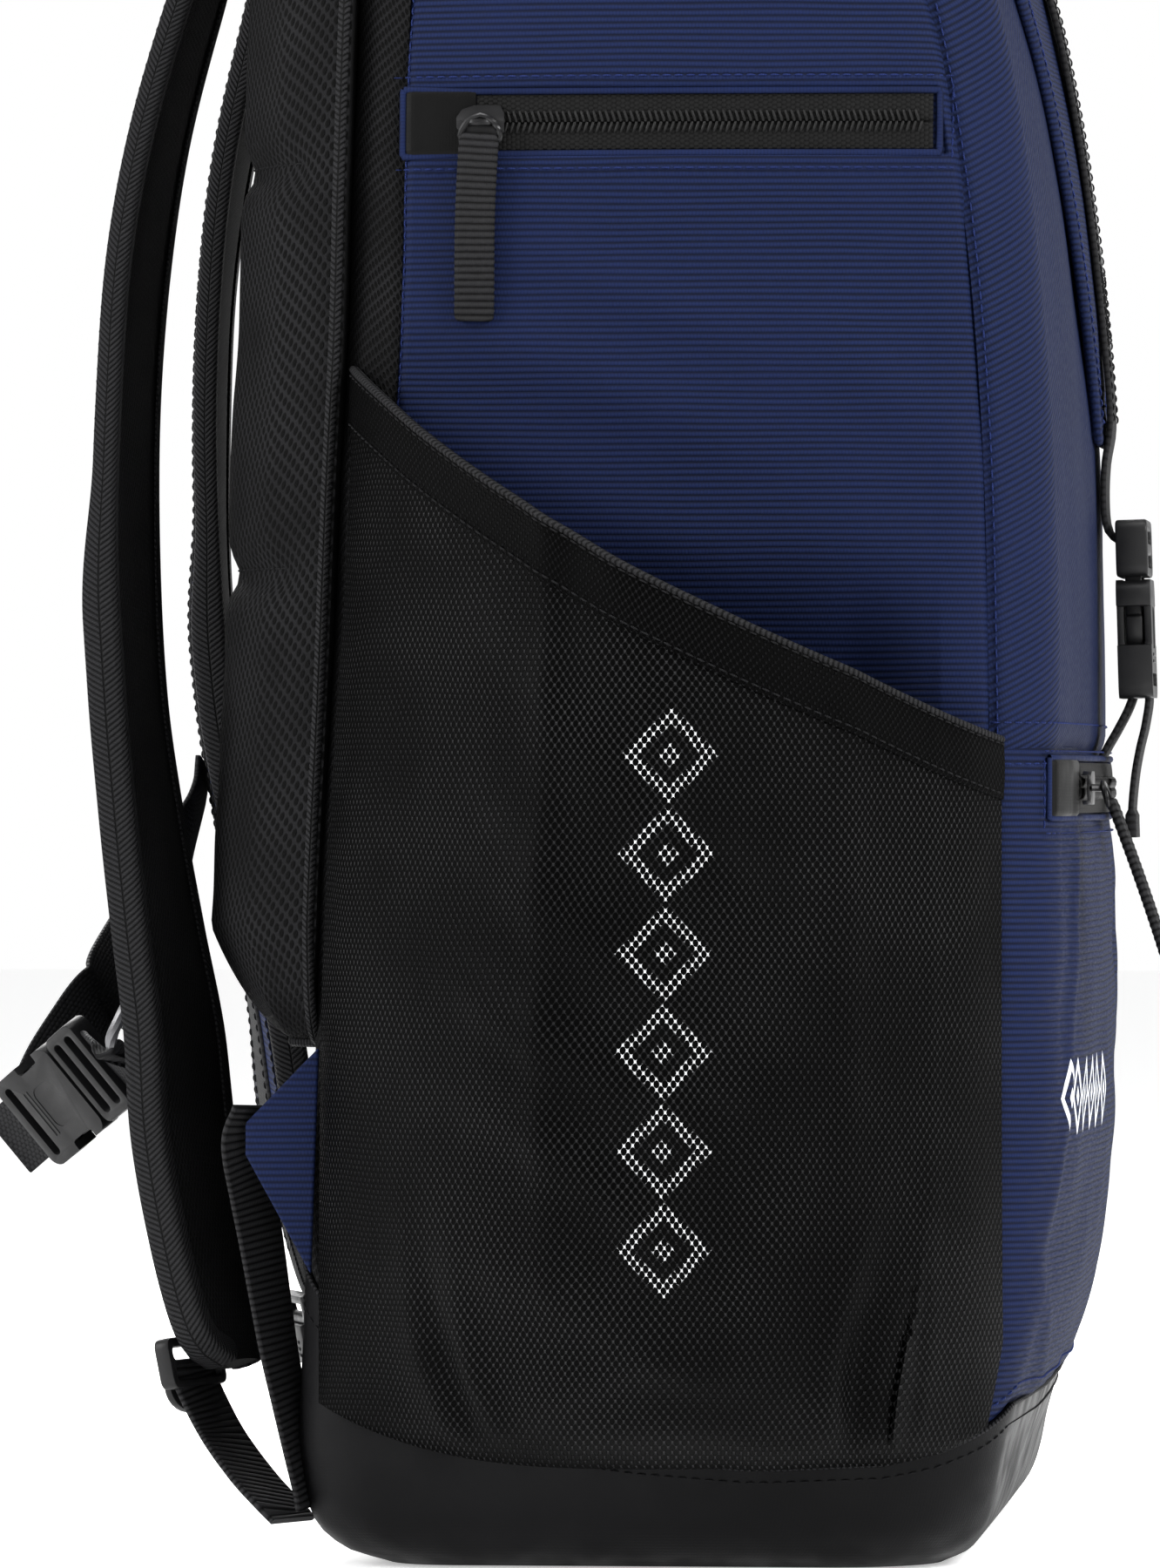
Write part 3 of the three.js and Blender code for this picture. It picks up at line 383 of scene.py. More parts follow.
def airmesh(name, scale=1.0, tone=(16, 16, 17)):
    k = Mat(name, rough=0.85, spec=0.06, sheen=0.0)
    u, v = k.uv()
    hole = k.dots(u, v, 3.0 * scale, 4.0 * scale, 0.17, 0.33, 1.0)
    knit = k.cord(k.add(u, k.mul(v, 0.5)), 0.55 * scale)
    h = k.add(k.mul(k.sub(1.0, hole), 0.8), k.mul(knit, 0.12))
    c0 = lin(*tone)
    c1 = tuple(c * 1.9 for c in c0)
    col = k.mix(k.step(k.noise(k.obj(), 30, 2), 0.3, 0.7), c0, c1)
    # the holes are painted dark, as painted shade inside the spacer mesh
    col = k.mix(hole, col, lin(4, 4, 4))
    return k.done(col, h, 0.7, 0.9)


def webmat(name, tone=(17, 17, 18), pitch=1.9, diag=0.0, hi=2.3, rough=0.62):
    """Woven tape: warp cords along v, weft ribs across it."""
    k = Mat(name, rough=rough, spec=0.06, sheen=0.0)
    u, v = k.uv()
    if diag:
        u, v = k.add(u, k.mul(v, diag)), k.sub(v, k.mul(u, diag))
    col_n = k.f("FLOOR", k.mul(u, 1 / 1.15))
    warp = k.cord(u, 1.15)
    weft = k.cord(k.add(v, k.mul(col_n, pitch / 2)), pitch)
    h = k.add(k.mul(warp, 0.35), k.mul(weft, 0.65))
    irr = k.noise(k.uvvec(), 2.2, 2)
    c0 = lin(*tone)
    # colour from weave height: painted shade between the cords and a painted highlight on their tops, plus uneven yarn
    col = k.mix(k.step(k.add(k.mul(h, 0.8), k.mul(irr, 0.4)), 0.2, 1.1), tuple(c * 0.45 for c in c0), tuple(c * hi for c in c0))
    return k.done(col, h, 0.35, 0.8)


def ribtape(name, tone=(20, 20, 21), pitch=1.75):
    """Grosgrain: plain ribs straight across the tape, fine warp between them."""
    k = Mat(name, rough=0.6, spec=0.07, sheen=0.0)
    u, v = k.uv()
    rib = k.cord(v, pitch)
    warp = k.cord(u, 0.55)
    h = k.add(k.mul(rib, 0.8), k.mul(k.mul(warp, rib), 0.2))
    c0 = lin(*tone)
    # colour from rib height: painted shade between the ribs and a painted highlight on their tops, plus uneven yarn
    col = k.mix(k.step(k.add(k.mul(h, 0.85), k.mul(k.noise(k.uvvec(), 1.8, 2), 0.3)), 0.2, 1.0), tuple(c * 0.35 for c in c0), tuple(c * 2.3 for c in c0))
    return k.done(col, h, 0.5, 0.8)


def chevron(name, tone=(18, 18, 19), pitch=1.5):
    """Herringbone tape: slanted ribs that meet along the fold."""
    k = Mat(name, rough=0.6, spec=0.07, sheen=0.0)
    u, v = k.uv()
    a = k.f("ABSOLUTE", u)
    rib = k.cord(k.add(v, k.mul(a, 0.75)), pitch)
    edge = k.step(a, 0.0, 0.35)
    h = k.mul(k.mul(rib, edge), k.add(0.75, k.mul(k.cord(k.sub(v, k.mul(a, 0.6)), 0.6), 0.25)))
    c0 = lin(*tone)
    # colour from rib height: painted shade between the slanted ribs and a painted highlight on their tops, plus uneven
    # yarn
    col = k.mix(k.step(k.add(k.mul(h, 0.85), k.mul(k.noise(k.uvvec(), 2.0, 2), 0.3)), 0.2, 1.0), tuple(c * 0.3 for c in c0), tuple(c * 2.6 for c in c0))
    return k.done(col, h, 0.5, 0.85)


def coated(name, tone=(13, 13, 14)):
    k = Mat(name, rough=0.5, spec=0.1)
    o = k.obj()
    grain = k.noise(o, 0.75, 2, 0.6)
    u, v = k.uv()
    weave = k.mul(k.cord(u, 0.8), k.cord(v, 0.8))
    big = k.noise(o, 60, 3)
    c0 = lin(*tone)
    col = k.mix(k.step(big, 0.3, 0.75), tuple(c * 0.8 for c in c0), tuple(c * 1.35 for c in c0))
    col = k.mix(k.step(k.noise(o, 9, 3), 0.62, 0.8, 0.0, 0.25), col, tuple(c * 2.0 for c in c0))
    return k.done(col, k.add(k.mul(grain, 0.6), k.mul(weave, 0.25)), 0.16, 0.6, rough=k.step(k.noise(o, 14, 2), 0.3, 0.7, 0.42, 0.6))


def moulded(name, tone=(22, 22, 23), rough=0.36, grain=0.05, metal=0.0, spec=0.5):
    k = Mat(name, rough=rough, spec=spec, metal=metal)
    o = k.obj()
    c0 = lin(*tone)
    col = k.mix(k.step(k.noise(o, 8, 2), 0.35, 0.7), c0, tuple(c * 1.3 for c in c0))
    return k.done(col, k.noise(o, 0.35, 2), grain, 0.5, rough=k.step(k.noise(o, 5, 2), 0.3, 0.7, rough - 0.06, rough + 0.08))


MAT = {}
MAT["navy"] = navy("navy_rib")
MAT["navy_diag"] = navy("navy_rib_bias", math.radians(24))
MAT["net"] = net("pocket_net")
MAT["net_hem"] = net("pocket_hem_knit", fine=True)
MAT["air"] = airmesh("spacer_mesh")
MAT["air_fine"] = airmesh("spacer_mesh_fine", 0.72)
MAT["web"] = webmat("webbing")
MAT["web_rib"] = ribtape("ribbed_tape")
MAT["bind"] = chevron("binding_tape")
MAT["tape"] = webmat("zip_tape", (11, 11, 11), 1.3, 0.0, 2.2)
MAT["coated"] = coated("coated_base")
MAT["patch"] = coated("rubber_patch", (10, 10, 10))
MAT["pom"] = moulded("acetal", (13, 13, 14), 0.46, spec=0.24)
MAT["coil"] = moulded("zip_coil", (12, 12, 12), 0.5, spec=0.18)
MAT["zinc"] = moulded("zip_metal", (26, 26, 27), 0.33, 0.03, 0.6)
MAT["board"] = moulded("board", (58, 60, 64), 0.55, 0.12)
MAT["lining"] = webmat("lining", (52, 55, 62), 0.8, 0.0, 1.5)
MAT["thread"] = webmat("thread", (26, 36, 76), 0.5, 0.3, 1.9)
MAT["thread_black"] = webmat("thread_black", (20, 20, 21), 0.5, 0.3, 2.0)


# ------------------------------------------------------------------ mesh helpers
def mk(name, V, F, uv, mat, rides="bag", sharp=45, mats=None, fmat=None):
    """V in mm, uv per vertex in mm."""
    me = bpy.data.meshes.new(name)
    me.from_pydata(M(V).tolist(), [], [list(f) for f in F])
    me.update()
    lay = me.uv_layers.new(name="mm")
    idx = np.empty(len(me.loops), np.int32)
    me.loops.foreach_get("vertex_index", idx)
    lay.data.foreach_set("uv", np.asarray(uv, np.float32)[idx].ravel())
    me.polygons.foreach_set("use_smooth", np.ones(len(me.polygons), bool))
    me.set_sharp_from_angle(angle=math.radians(sharp))
    for x in (mats or [mat]):
        me.materials.append(MAT[x] if isinstance(x, str) else x)
    if fmat is not None:
        me.polygons.foreach_set("material_index", np.asarray(fmat, np.int32))
    o = bpy.data.objects.new(name, me)
    bpy.context.scene.collection.objects.link(o)
    if rides:
        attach(o, rides)
    return o


def normals(P):
    du = np.gradient(P, axis=0)
    dv = np.gradient(P, axis=1)
    n = np.cross(du, dv)
    return n / (np.linalg.norm(n, axis=-1, keepdims=True) + 1e-9)


def slab(P, thick, outward):
    """P is a grid of outer points; outward a vector or grid the normals should agree with. Gives verts and faces."""
    n = normals(P)
    if np.sum(n * outward) < 0:
        n = -n
    m, k = P.shape[:2]
    Q = P - n * (thick[..., None] if isinstance(thick, np.ndarray) else thick)
    V = np.concatenate([P.reshape(-1, 3), Q.reshape(-1, 3)])
    A = np.arange(m * k).reshape(m, k)
    B = A + m * k
    quads = []
    def q4(a, b, c, d): quads.append(np.stack([a.ravel(), b.ravel(), c.ravel(), d.ravel()], 1))
    q4(A[:-1, :-1], A[1:, :-1], A[1:, 1:], A[:-1, 1:])
    q4(B[:-1, :-1], B[:-1, 1:], B[1:, 1:], B[1:, :-1])
    q4(A[:-1, 0], B[:-1, 0], B[1:, 0], A[1:, 0])
    q4(A[:-1, -1], A[1:, -1], B[1:, -1], B[:-1, -1])
    q4(A[0, :-1], A[0, 1:], B[0, 1:], B[0, :-1])
    q4(A[-1, :-1], B[-1, :-1], B[-1, 1:], A[-1, 1:])
    F = np.concatenate(quads)
    # outward check on the first quads
    a, b, c = V[F[0, 0]], V[F[0, 1]], V[F[0, 2]]
    if np.dot(np.cross(b - a, c - a), n[0, 0]) < 0:
        F = F[:, ::-1]
    return V, F


def sheet_piece(name, P, thick, outward, mat, rides="bag", uv=None, sharp=60, mirror=False):
    """A thin piece from an outer grid. uv: grid (m, k, 2) or None for arc lengths."""
    if uv is None:
        uv = arc_uv(P)
    V, F = slab(P, thick, outward)
    UV = np.concatenate([uv.reshape(-1, 2)] * 2)
    if mirror:
        V = V * [-1, 1, 1]
        F = F[:, ::-1]
    return mk(name, V, F, UV, mat, rides, sharp)


def arc_uv(P):
    u = np.concatenate([np.zeros((1, P.shape[1])), np.cumsum(np.linalg.norm(np.diff(P, axis=0), axis=-1), 0)])
    v = np.concatenate([np.zeros((P.shape[0], 1)), np.cumsum(np.linalg.norm(np.diff(P, axis=1), axis=-1), 1)], 1)
    u = np.repeat(u[:, u.shape[1] // 2][:, None], P.shape[1], 1)
    return np.stack([u, v], -1)


def both(fn):
    """Builds a piece on the left and its mirror image on the right."""
    return [fn(False, "left"), fn(True, "right")]


def frames(C, W):
    """Tangents and orthonormal width and thickness directions along a path of centres."""
    C, W = np.asarray(C, float), np.asarray(W, float)
    T = np.gradient(C, axis=0)
    T /= np.linalg.norm(T, axis=1, keepdims=True) + 1e-9
    W = W - T * np.sum(W * T, 1, keepdims=True)
    W /= np.linalg.norm(W, axis=1, keepdims=True) + 1e-9
    return T, W, np.cross(T, W)


def resample(P, n):
    P = np.asarray(P, float)
    d = np.concatenate([[0], np.cumsum(np.linalg.norm(np.diff(P, axis=0), axis=1))])
    t = np.linspace(0, d[-1], n)
    return np.stack([np.interp(t, d, P[:, k]) for k in range(P.shape[1])], 1)


def spline(P, n):
    """Smooth curve through points, n samples evenly spaced by length."""
    P = np.asarray(P, float)
    if len(P) == 2:
        return resample(P, n)
    t = np.concatenate([[0], np.cumsum(np.linalg.norm(np.diff(P, axis=0), axis=1) ** 0.5)])
    s = np.empty_like(P)
    s[1:-1] = (P[2:] - P[:-2]) / (t[2:] - t[:-2])[:, None]
    s[0], s[-1] = (P[1] - P[0]) / (t[1] - t[0]), (P[-1] - P[-2]) / (t[-1] - t[-2])
    x = np.linspace(0, t[-1], 600)
    i = np.clip(np.searchsorted(t, x, "right") - 1, 0, len(t) - 2)
    h = (t[i + 1] - t[i])[:, None]
    k = (x - t[i])[:, None] / h
    Q = (2 * k**3 - 3 * k**2 + 1) * P[i] + (k**3 - 2 * k**2 + k) * h * s[i] + (-2 * k**3 + 3 * k**2) * P[i + 1] + (k**3 - k**2) * h * s[i + 1]
    return resample(Q, n)


def sweep(name, C, W, profile, mat, rides="bag", mirror=False, scale=None, caps=True, sharp=50, uvw=None, swap=False):
    """profile: closed outline (x along width, y along thickness) in mm; scale: per-station multipliers (n,2)."""
    C = np.asarray(C, float)
    T, Wd, N = frames(C, W)
    pr = np.asarray(profile, float)
    n, k = len(C), len(pr)
    sc = np.ones((n, 2)) if scale is None else np.asarray(scale, float)
    V = C[:, None] + Wd[:, None] * (pr[None, :, 0:1] * sc[:, None, 0:1]) + N[:, None] * (pr[None, :, 1:2] * sc[:, None, 1:2])
    d = np.concatenate([[0], np.cumsum(np.linalg.norm(np.diff(C, axis=0), axis=1))])
    per = np.concatenate([[0], np.cumsum(np.linalg.norm(np.diff(np.vstack([pr, pr[:1]]), axis=0), axis=1))])[:-1]
    ux = pr[:, 0] if uvw is None else uvw
    UV = np.stack([np.repeat((ux + np.where(pr[:, 1] < 0, 0.0, 0.0))[None], n, 0), np.repeat(d[:, None], k, 1)], -1).reshape(-1, 2)
    if swap:
        UV = UV[:, ::-1]
    V = V.reshape(-1, 3)
    F = []
    for i in range(n - 1):
        for j in range(k):
            a, b = i * k + j, i * k + (j + 1) % k
            F.append([a, b, b + k, a + k])
    if caps:
        F.append(list(range(k))[::-1])
        F.append([(n - 1) * k + j for j in range(k)])
    # orientation
    f = np.array(F[0])
    c = V[:k].mean(0)
    if np.dot(np.cross(V[f[1]] - V[f[0]], V[f[2]] - V[f[0]]), V[f[0]] - c) < 0:
        F = [g[::-1] for g in F]
    if mirror:
        V = V * [-1, 1, 1]
        F = [g[::-1] for g in F]
    return mk(name, V, F, UV, mat, rides, sharp)


def flat_profile(w, t, r=None, n=3):
    """Rounded flat section."""
    r = min(t, w) / 2 * 0.95 if r is None else r
    out = []
    for cx, cy, a0 in ((w / 2 - r, t / 2 - r, 0), (-w / 2 + r, t / 2 - r, 90), (-w / 2 + r, -t / 2 + r, 180), (w / 2 - r, -t / 2 + r, 270)):
        for i in range(n + 1):
            a = math.radians(a0 + 90 * i / n)
            out.append([cx + r * math.cos(a), cy + r * math.sin(a)])
    return out


def strap_piece(name, pts, width_dirs, w, t, mat="web", rides="bag", mirror=False, n=40, scale=None):
    C = spline(pts, n)
    wd = np.asarray(width_dirs, float)
    if wd.ndim == 1:
        wd = np.repeat(wd[None], n, 0)
    else:
        wd = resample(wd, n) if len(wd) != n else wd
    return sweep(name, C, wd, flat_profile(w, t), mat, rides, mirror, scale)


def stitches(name, lines, mat="thread", rides="bag", pitch=3.1, length=2.2, r=0.24, lift=0.12):
    """lines: list of (points, normals). Small arched threads along each line, as one piece."""
    V, F, UV = [], [], []
    ring = [(math.cos(a), math.sin(a)) for a in np.linspace(0, 2 * math.pi, 6)[:-1]]
    for pts, nor in lines:
        pts, nor = np.asarray(pts, float), np.asarray(nor, float)
        d = np.concatenate([[0], np.cumsum(np.linalg.norm(np.diff(pts, axis=0), axis=1))])
        for s in np.arange(pitch / 2, d[-1], pitch):
            at = lambda x: np.array([np.interp(x, d, pts[:, k]) for k in range(3)])
            n0 = np.array([np.interp(s, d, nor[:, k]) for k in range(3)])
            n0 /= np.linalg.norm(n0) + 1e-9
            a, b = at(s - length / 2), at(s + length / 2)
            t = (b - a) / (np.linalg.norm(b - a) + 1e-9)
            w = np.cross(t, n0)
            o = len(V)
            for f, rr, hh in ((0, 0.5, -0.25), (0.22, 1.0, 0.6), (0.5, 1.1, 1.0), (0.78, 1.0, 0.6), (1, 0.5, -0.25)):
                c = a + (b - a) * f + n0 * (lift + r * hh - r * 0.3)
                for x, y in ring:
                    V.append(c + w * x * r * rr + n0 * y * r * rr)
                    UV.append([x, f * length])
            for i in range(4):
                for j in range(5):
                    F.append([o + i * 5 + j, o + i * 5 + (j + 1) % 5, o + (i + 1) * 5 + (j + 1) % 5, o + (i + 1) * 5 + j])
            F.append([o + j for j in range(5)][::-1])
            F.append([o + 20 + j for j in range(5)])
    return mk(name, np.array(V), F, np.array(UV), mat, rides, 80)


def flip(lines):
    return [(np.asarray(p) * [-1, 1, 1], np.asarray(n) * [-1, 1, 1]) for p, n in lines]


def grid_line(P, N, i=None, j=None):
    return (P[i], N[i]) if i is not None else (P[:, j], N[:, j])


DONE = []


# ------------------------------------------------------------------ body panels
def edge_dip(P, depth=1.1, reach=2.2, puff=0.0, skip=()):
    """Pulls a panel in along its sewn edges and lets it stand out between them. skip: edges left alone, of u0 u1 v0 v1."""
    uv = arc_uv(P)
    big = 1e9
    d = np.full(P.shape[:2], big)
    if "u0" not in skip: d = np.minimum(d, uv[..., 0] - uv[0:1, :, 0])
    if "u1" not in skip: d = np.minimum(d, uv[-1:, :, 0] - uv[..., 0])
    if "v0" not in skip: d = np.minimum(d, uv[..., 1])
    if "v1" not in skip: d = np.minimum(d, uv[:, -1:, 1] - uv[..., 1])
    return -depth * np.exp(-(d / reach) ** 2) + puff * (1 - np.exp(-d / 22.0))


def ease(t):
    """Runs 0 to 1 with closer steps at both ends."""
    return 0.62 * t + 0.38 * (0.5 - 0.5 * np.cos(np.pi * t))


def displace(P, amount, outward):
    n = normals(P)
    if np.sum(n * outward) < 0:
        n = -n
    return P + n * amount[..., None]


def wrinkle(P, size, amp, seed, stretch=(1, 1, 1)):
    f = fbm(P.reshape(-1, 3) * np.array(stretch), size, seed).reshape(P.shape[:2])
    return amp * f


def pnorm(P, outward):
    n = normals(P)
    return -n if np.sum(n * outward) < 0 else n


LEFT = np.array([-1.0, 0, 0]); FRONT = np.array([0, -1.0, 0]); BACK = np.array([0, 1.0, 0])


def wide_grid(q0, nq, zlo, zhi, nz, off, front=5.0, knots=None):
    e = np.linspace(0, 1, nq)
    e = 0.55 * e + 0.45 * (1 - np.cos(np.pi / 2 * e))
    qs = q0 + (5 - q0) * e if knots is None else knots
    fz = ease(np.linspace(0, 1, nz + 1))
    Z = np.array([[lerp(zlo(q), zhi(q), t) for t in fz] for q in qs])
    L = body(np.repeat(qs[:, None], nz + 1, 1), Z, off, rec=False, front=front)
    R = L[::-1][1:] * [-1, 1, 1]
    return np.concatenate([L, R])


# coated base
def make_base():
    qs = np.concatenate([np.linspace(0, 1, 12)[:-1], np.linspace(1, 2, 12)[:-1], np.linspace(2, 2.25, 8)[:-1], np.linspace(2.25, 3, 12)[:-1], np.linspace(3, 4, 14)[:-1], np.linspace(4, 5, 12)])
    top = baseTop(qs)
    ts = np.linspace(0, 1, 19)[1:] ** 1.7
    def ring(z, off):
        l = body(qs, z, off, rec=False)
        return np.concatenate([l, (l[1:-1] * [-1, 1, 1])[::-1]])
    rows = []
    b0 = ring(np.zeros_like(qs), 0)
    c = np.array([0, 14.0, 0])
    for f in (0.02, 0.35, 0.7, 0.93):
        rows.append(c + (b0 - c) * [f, f, 1])
    rows.append(b0)
    for t in ts:
        r = ring(t * top, 0)
        rows.append(r)
    outer = np.array(rows)
    out_n = outer.copy() - [0, 14, 40]
    # soft unevenness of a filled bag
    w = fbm(outer.reshape(-1, 3), 60, 3.0).reshape(outer.shape[:2]) * 0.9 * smooth(6, 22, outer[..., 2])
    hr = np.stack([out_n[..., 0], out_n[..., 1], 0 * out_n[..., 0]], -1)
    hr /= np.linalg.norm(hr, axis=-1, keepdims=True)
    outer = outer + hr * w[..., None]
    rim = outer[-1]
    hrr = hr[-1]
    inner = [rim - hrr * 0.7 + [0, 0, 0.7], rim - hrr * 2.2 + [0, 0, 0.2]]
    for t in (0.8, 0.5, 0.3, 0.15):
        r = ring(np.maximum(t * top, 3.2), -2.6)
        inner.append(r)
    inner.append(c + (inner[-1] - c) * [0.5, 0.5, 0] + [0, 0, 3.2])
    inner.append(c + (inner[-1] - c) * [0.04, 0.04, 0] + [0, 0, 3.2])
    P = np.concatenate([outer, np.array(inner)])
    m, k = P.shape[:2]
    V = P.reshape(-1, 3)
    F = []
    for i in range(m - 1):
        for j in range(k):
            a, b = i * k + j, i * k + (j + 1) % k
            F.append([a, b, b + k, a + k])
    F.append([j for j in range(k)][::-1])
    F.append([(m - 1) * k + j for j in range(k)])
    f = F[5 * k + 3]
    n = np.cross(V[f[1]] - V[f[0]], V[f[2]] - V[f[0]])
    if np.dot(n, V[f[0]] - [0, 14, 40]) < 0:
        F = [g[::-1] for g in F]
    per = np.concatenate([[0], np.cumsum(np.linalg.norm(np.diff(outer[8], axis=0), axis=1))])
    UV = np.stack([np.repeat(per[None], m, 0), P[..., 2] + np.arange(m)[:, None] * 0.01], -1).reshape(-1, 2)
    o = mk("base_tub", V, F, UV, "coated", sharp=50)
    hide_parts("base")
    # welt where the base meets the panels, and its stitching
    seam = np.concatenate([outer[-1], outer[-1][:1]])
    hs = np.concatenate([hr[-1], hr[-1][:1]])
    prof = [[0.75 * math.cos(a), 0.6 * math.sin(a)] for a in np.linspace(0, 2 * math.pi, 9)[:-1]]
    w = sweep("base_welt", seam + hs * 0.1 + [0, 0, 0.2], hs, prof, "bind", caps=False)
    st = outer[-3] * 0.35 + outer[-2] * 0.65
    st = np.concatenate([st, st[:1]]) + hs * 0.05
    s = stitches("base_stitch", [(st, hs)], "thread_black", pitch=3.4)


make_base()

SEAM_LINES = []


def side_panel(mirror, side):
    nq = 110
    qs = QB - 0.004 + (QF - QB + 0.01) * ease(np.linspace(0, 1, nq))
    lo = baseTop(qs) + 0.2
    hi = rimAt(qs)
    low = ease(np.linspace(0, 1, 96))[None]
    mid = np.repeat(np.linspace(344, 381, 54)[None], nq, 0)
    high = np.linspace(0, 1, 34)[None] ** 0.85
    Z = np.concatenate([lo[:, None] + (343.3 - lo)[:, None] * low, mid, 381.9 + (hi - 381.9)[:, None] * high], 1)
    P = body(qs[:, None], Z, 0.0)
    out = P * [1, 1, 0] - [0, 14, 0]
    y, z = P[..., 1], P[..., 2]
    a = edge_dip(P, 1.7, 1.5, 1.1)
    near = np.exp(-((z - 362.5) / 26) ** 4)
    # long soft folds falling from the back seam and the zip, as a lightly filled bag has
    b = wrinkle(P, 70, 1.3, 4.0 + mirror, (1, 1, 0.55)) * smooth(60, 120, z)
    b += 0.9 * np.sin((z * 0.9 + y * 0.8) / 17.0 + 1.5 * mirror) * np.exp(-((z - 415) / 32) ** 2) * smooth(-60, -20, y)
    for c, w, h in ((0, 6, 1.5), (26, 8, 1.2), (58, 9, 1.0)):  # creases running down and forward from the zip's back end
        d = (z - 338 + c) * 0.92 + (62 - y) * 0.38
        b += h * np.exp(-(d / w) ** 2) * smooth(-30, 20, y) * (1 - smooth(70, 84, y)) * (1 - smooth(330, 345, z))
    d = (z - 300) * 0.8 - (y + 40) * 0.6
    b += 1.1 * np.exp(-(d / 9) ** 2) * np.exp(-((y + 45) / 26) ** 2)
    a += b * (1 - near) * (1 - 0.6 * np.exp(-((z - 330) / 22) ** 2))
    win = (1 - smooth(8.0, 9.0, np.abs(z - 362.5))) * (1 - smooth(3.222, 3.236, qs))[:, None]
    a = a * (1 - win) + (1.25 * near) * (1 - win) * np.minimum(1, (qs - QB + 0.03) / 0.05)[:, None] + 0.1 * win
    P = displace(P, a, out)
    uv = np.stack([y, z], -1)
    o = sheet_piece(f"side_cloth_{side}", P, 2.0, out, "navy", uv=uv, mirror=mirror)
    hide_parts(f"side_panel_{side}")
    N = pnorm(P, out)
    lines = [(P[:, -5], N[:, -5])]
    i = 4
    lines.append((P[i], N[i]))
    return P, N, lines


def on_panel(side, y, z, lift=0.0):
    """Points of the side cloth at given y and z, and its normals there."""
    P, N, _ = SIDE[side]
    py, pz = P[..., 1].ravel(), P[..., 2].ravel()
    px, pn = P[..., 0].ravel(), N.reshape(-1, 3)
    pts, nor = [], []
    for a, b in zip(y, z):
        d = (py - a) ** 2 + (pz - b) ** 2
        k = np.argpartition(d, 6)[:6]
        w = 1 / (d[k] + 0.02)
        w /= w.sum()
        n = (pn[k] * w[:, None]).sum(0)
        n /= np.linalg.norm(n)
        pts.append(np.array([(px[k] * w).sum(), a, b]) + n * lift)
        nor.append(n)
    return np.array(pts), np.array(nor)


SIDE = {}
for _m, _s in ((False, "left"), (True, "right")):
    SIDE[_s] = side_panel(_m, _s)


def front_panels():
    # upper front and gusset, under the lid's tongue
    P = wide_grid(QF - 0.006, 70, lambda q: POCKET_TOP - 0.3, lambda q: RIM, 76, 0.0)
    out = P * [1, 1, 0] - [0, 14, 0]
    a = edge_dip(P, 1.3, 2.0, 0.5)
    a += wrinkle(P, 60, 1.2, 9.0, (1, 1, 0.6))
    P = displace(P, a, out)
    u = arc_uv(P)[..., 0]
    uv = np.stack([u, P[..., 2]], -1)
    o = sheet_piece("front_cloth", P, 2.0, out, "navy_diag", uv=uv)
    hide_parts("front_upper_panel")
    N = pnorm(P, out)
    # front pocket: stands out in the middle, sewn round its edge, sagging a little
    qs_lo = lambda q: baseTop(q) + 0.2
    Q = wide_grid(QF - 0.006, 78, qs_lo, lambda q: POCKET_TOP + 0.3 + 0 * q, 80, 0.6)
    outq = Q * [1, 1, 0] - [0, 14, 0]
    x, z = Q[..., 0], Q[..., 2]
    a = edge_dip(Q, 1.5, 2.4, 1.0)
    a += 2.2 * np.exp(-((z - 108) / 46) ** 2) * (1 - smooth(95, 150, np.abs(x)))
    a += wrinkle(Q, 52, 1.5, 12.0, (0.8, 1, 1.3))
    # folds that run down from the zip's ends and up from the base corners
    for sx in (-1, 1):
        d = (x * sx - 118) * 0.92 + (z - 150) * 0.28
        a += 1.7 * np.exp(-(d / 5.5) ** 2) * smooth(70, 110, z) * (1 - smooth(168, 190, z))
        d2 = (x * sx - 128) * 0.55 - (z - 66) * 0.83
        a += 1.2 * np.exp(-(d2 / 5.0) ** 2) * np.exp(-((x * sx - 118) / 26) ** 2)
    a += -0.9 * np.exp(-((z - 196) / 10) ** 2) * (1 - smooth(108, 130, np.abs(x)))
    Q = displace(Q, a, outq)
    uq = arc_uv(Q)[..., 0]
    # where the printed row starts: just round the corner, at the height of the pocket's middle
    row = int(np.argmin(np.abs(Q[10, :, 2] - 118)))
    u0 = float(np.interp(-137.0, Q[:40, row, 0], uq[:40, row]))
    MAT["navy_marks"] = navy("navy_rib_printed", marks=(u0, 118.0, 19.0))
    o = sheet_piece("front_pocket_cloth", Q, 1.8, outq, "navy_marks", uv=np.stack([uq, Q[..., 2]], -1))
    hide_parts("front_pocket")
    NQ = pnorm(Q, outq)
    j = 3
    st = [(P[3], N[3]), (P[-4], N[-4]), (P[:, j], N[:, j]), (Q[:, -4], NQ[:, -4]), (Q[:, 4], NQ[:, 4])]
    s = stitches("front_stitch", st, pitch=3.2)
    return P, N, Q, NQ


FP, FN, FQ, FQN = front_panels()


def back_cloth():
    P = wide_grid(QB - 0.0, 60, lambda q: baseTop(q) + 0.2, rimAt, 90, 0.0, knots=np.linspace(QB - 0.002, 0, 50))
    out = P * [1, 1, 0] - [0, 14, 0]
    a = edge_dip(P, 1.2, 2.0, 0.4) + wrinkle(P, 60, 0.6, 15.0)
    P = displace(P, a, out)
    o = sheet_piece("back_mesh", P, 2.0, out, "air_fine")
    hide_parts("back_panel")


back_cloth()


# ------------------------------------------------------------------ lid
def tongue_z(x):
    x = np.abs(x)
    return np.interp(x, [0, 18, 24, 36, 52, 74, 96, 118, 140, 200], [287, 287, 300, 322, 352, 386, 412, 432, 444, 446])


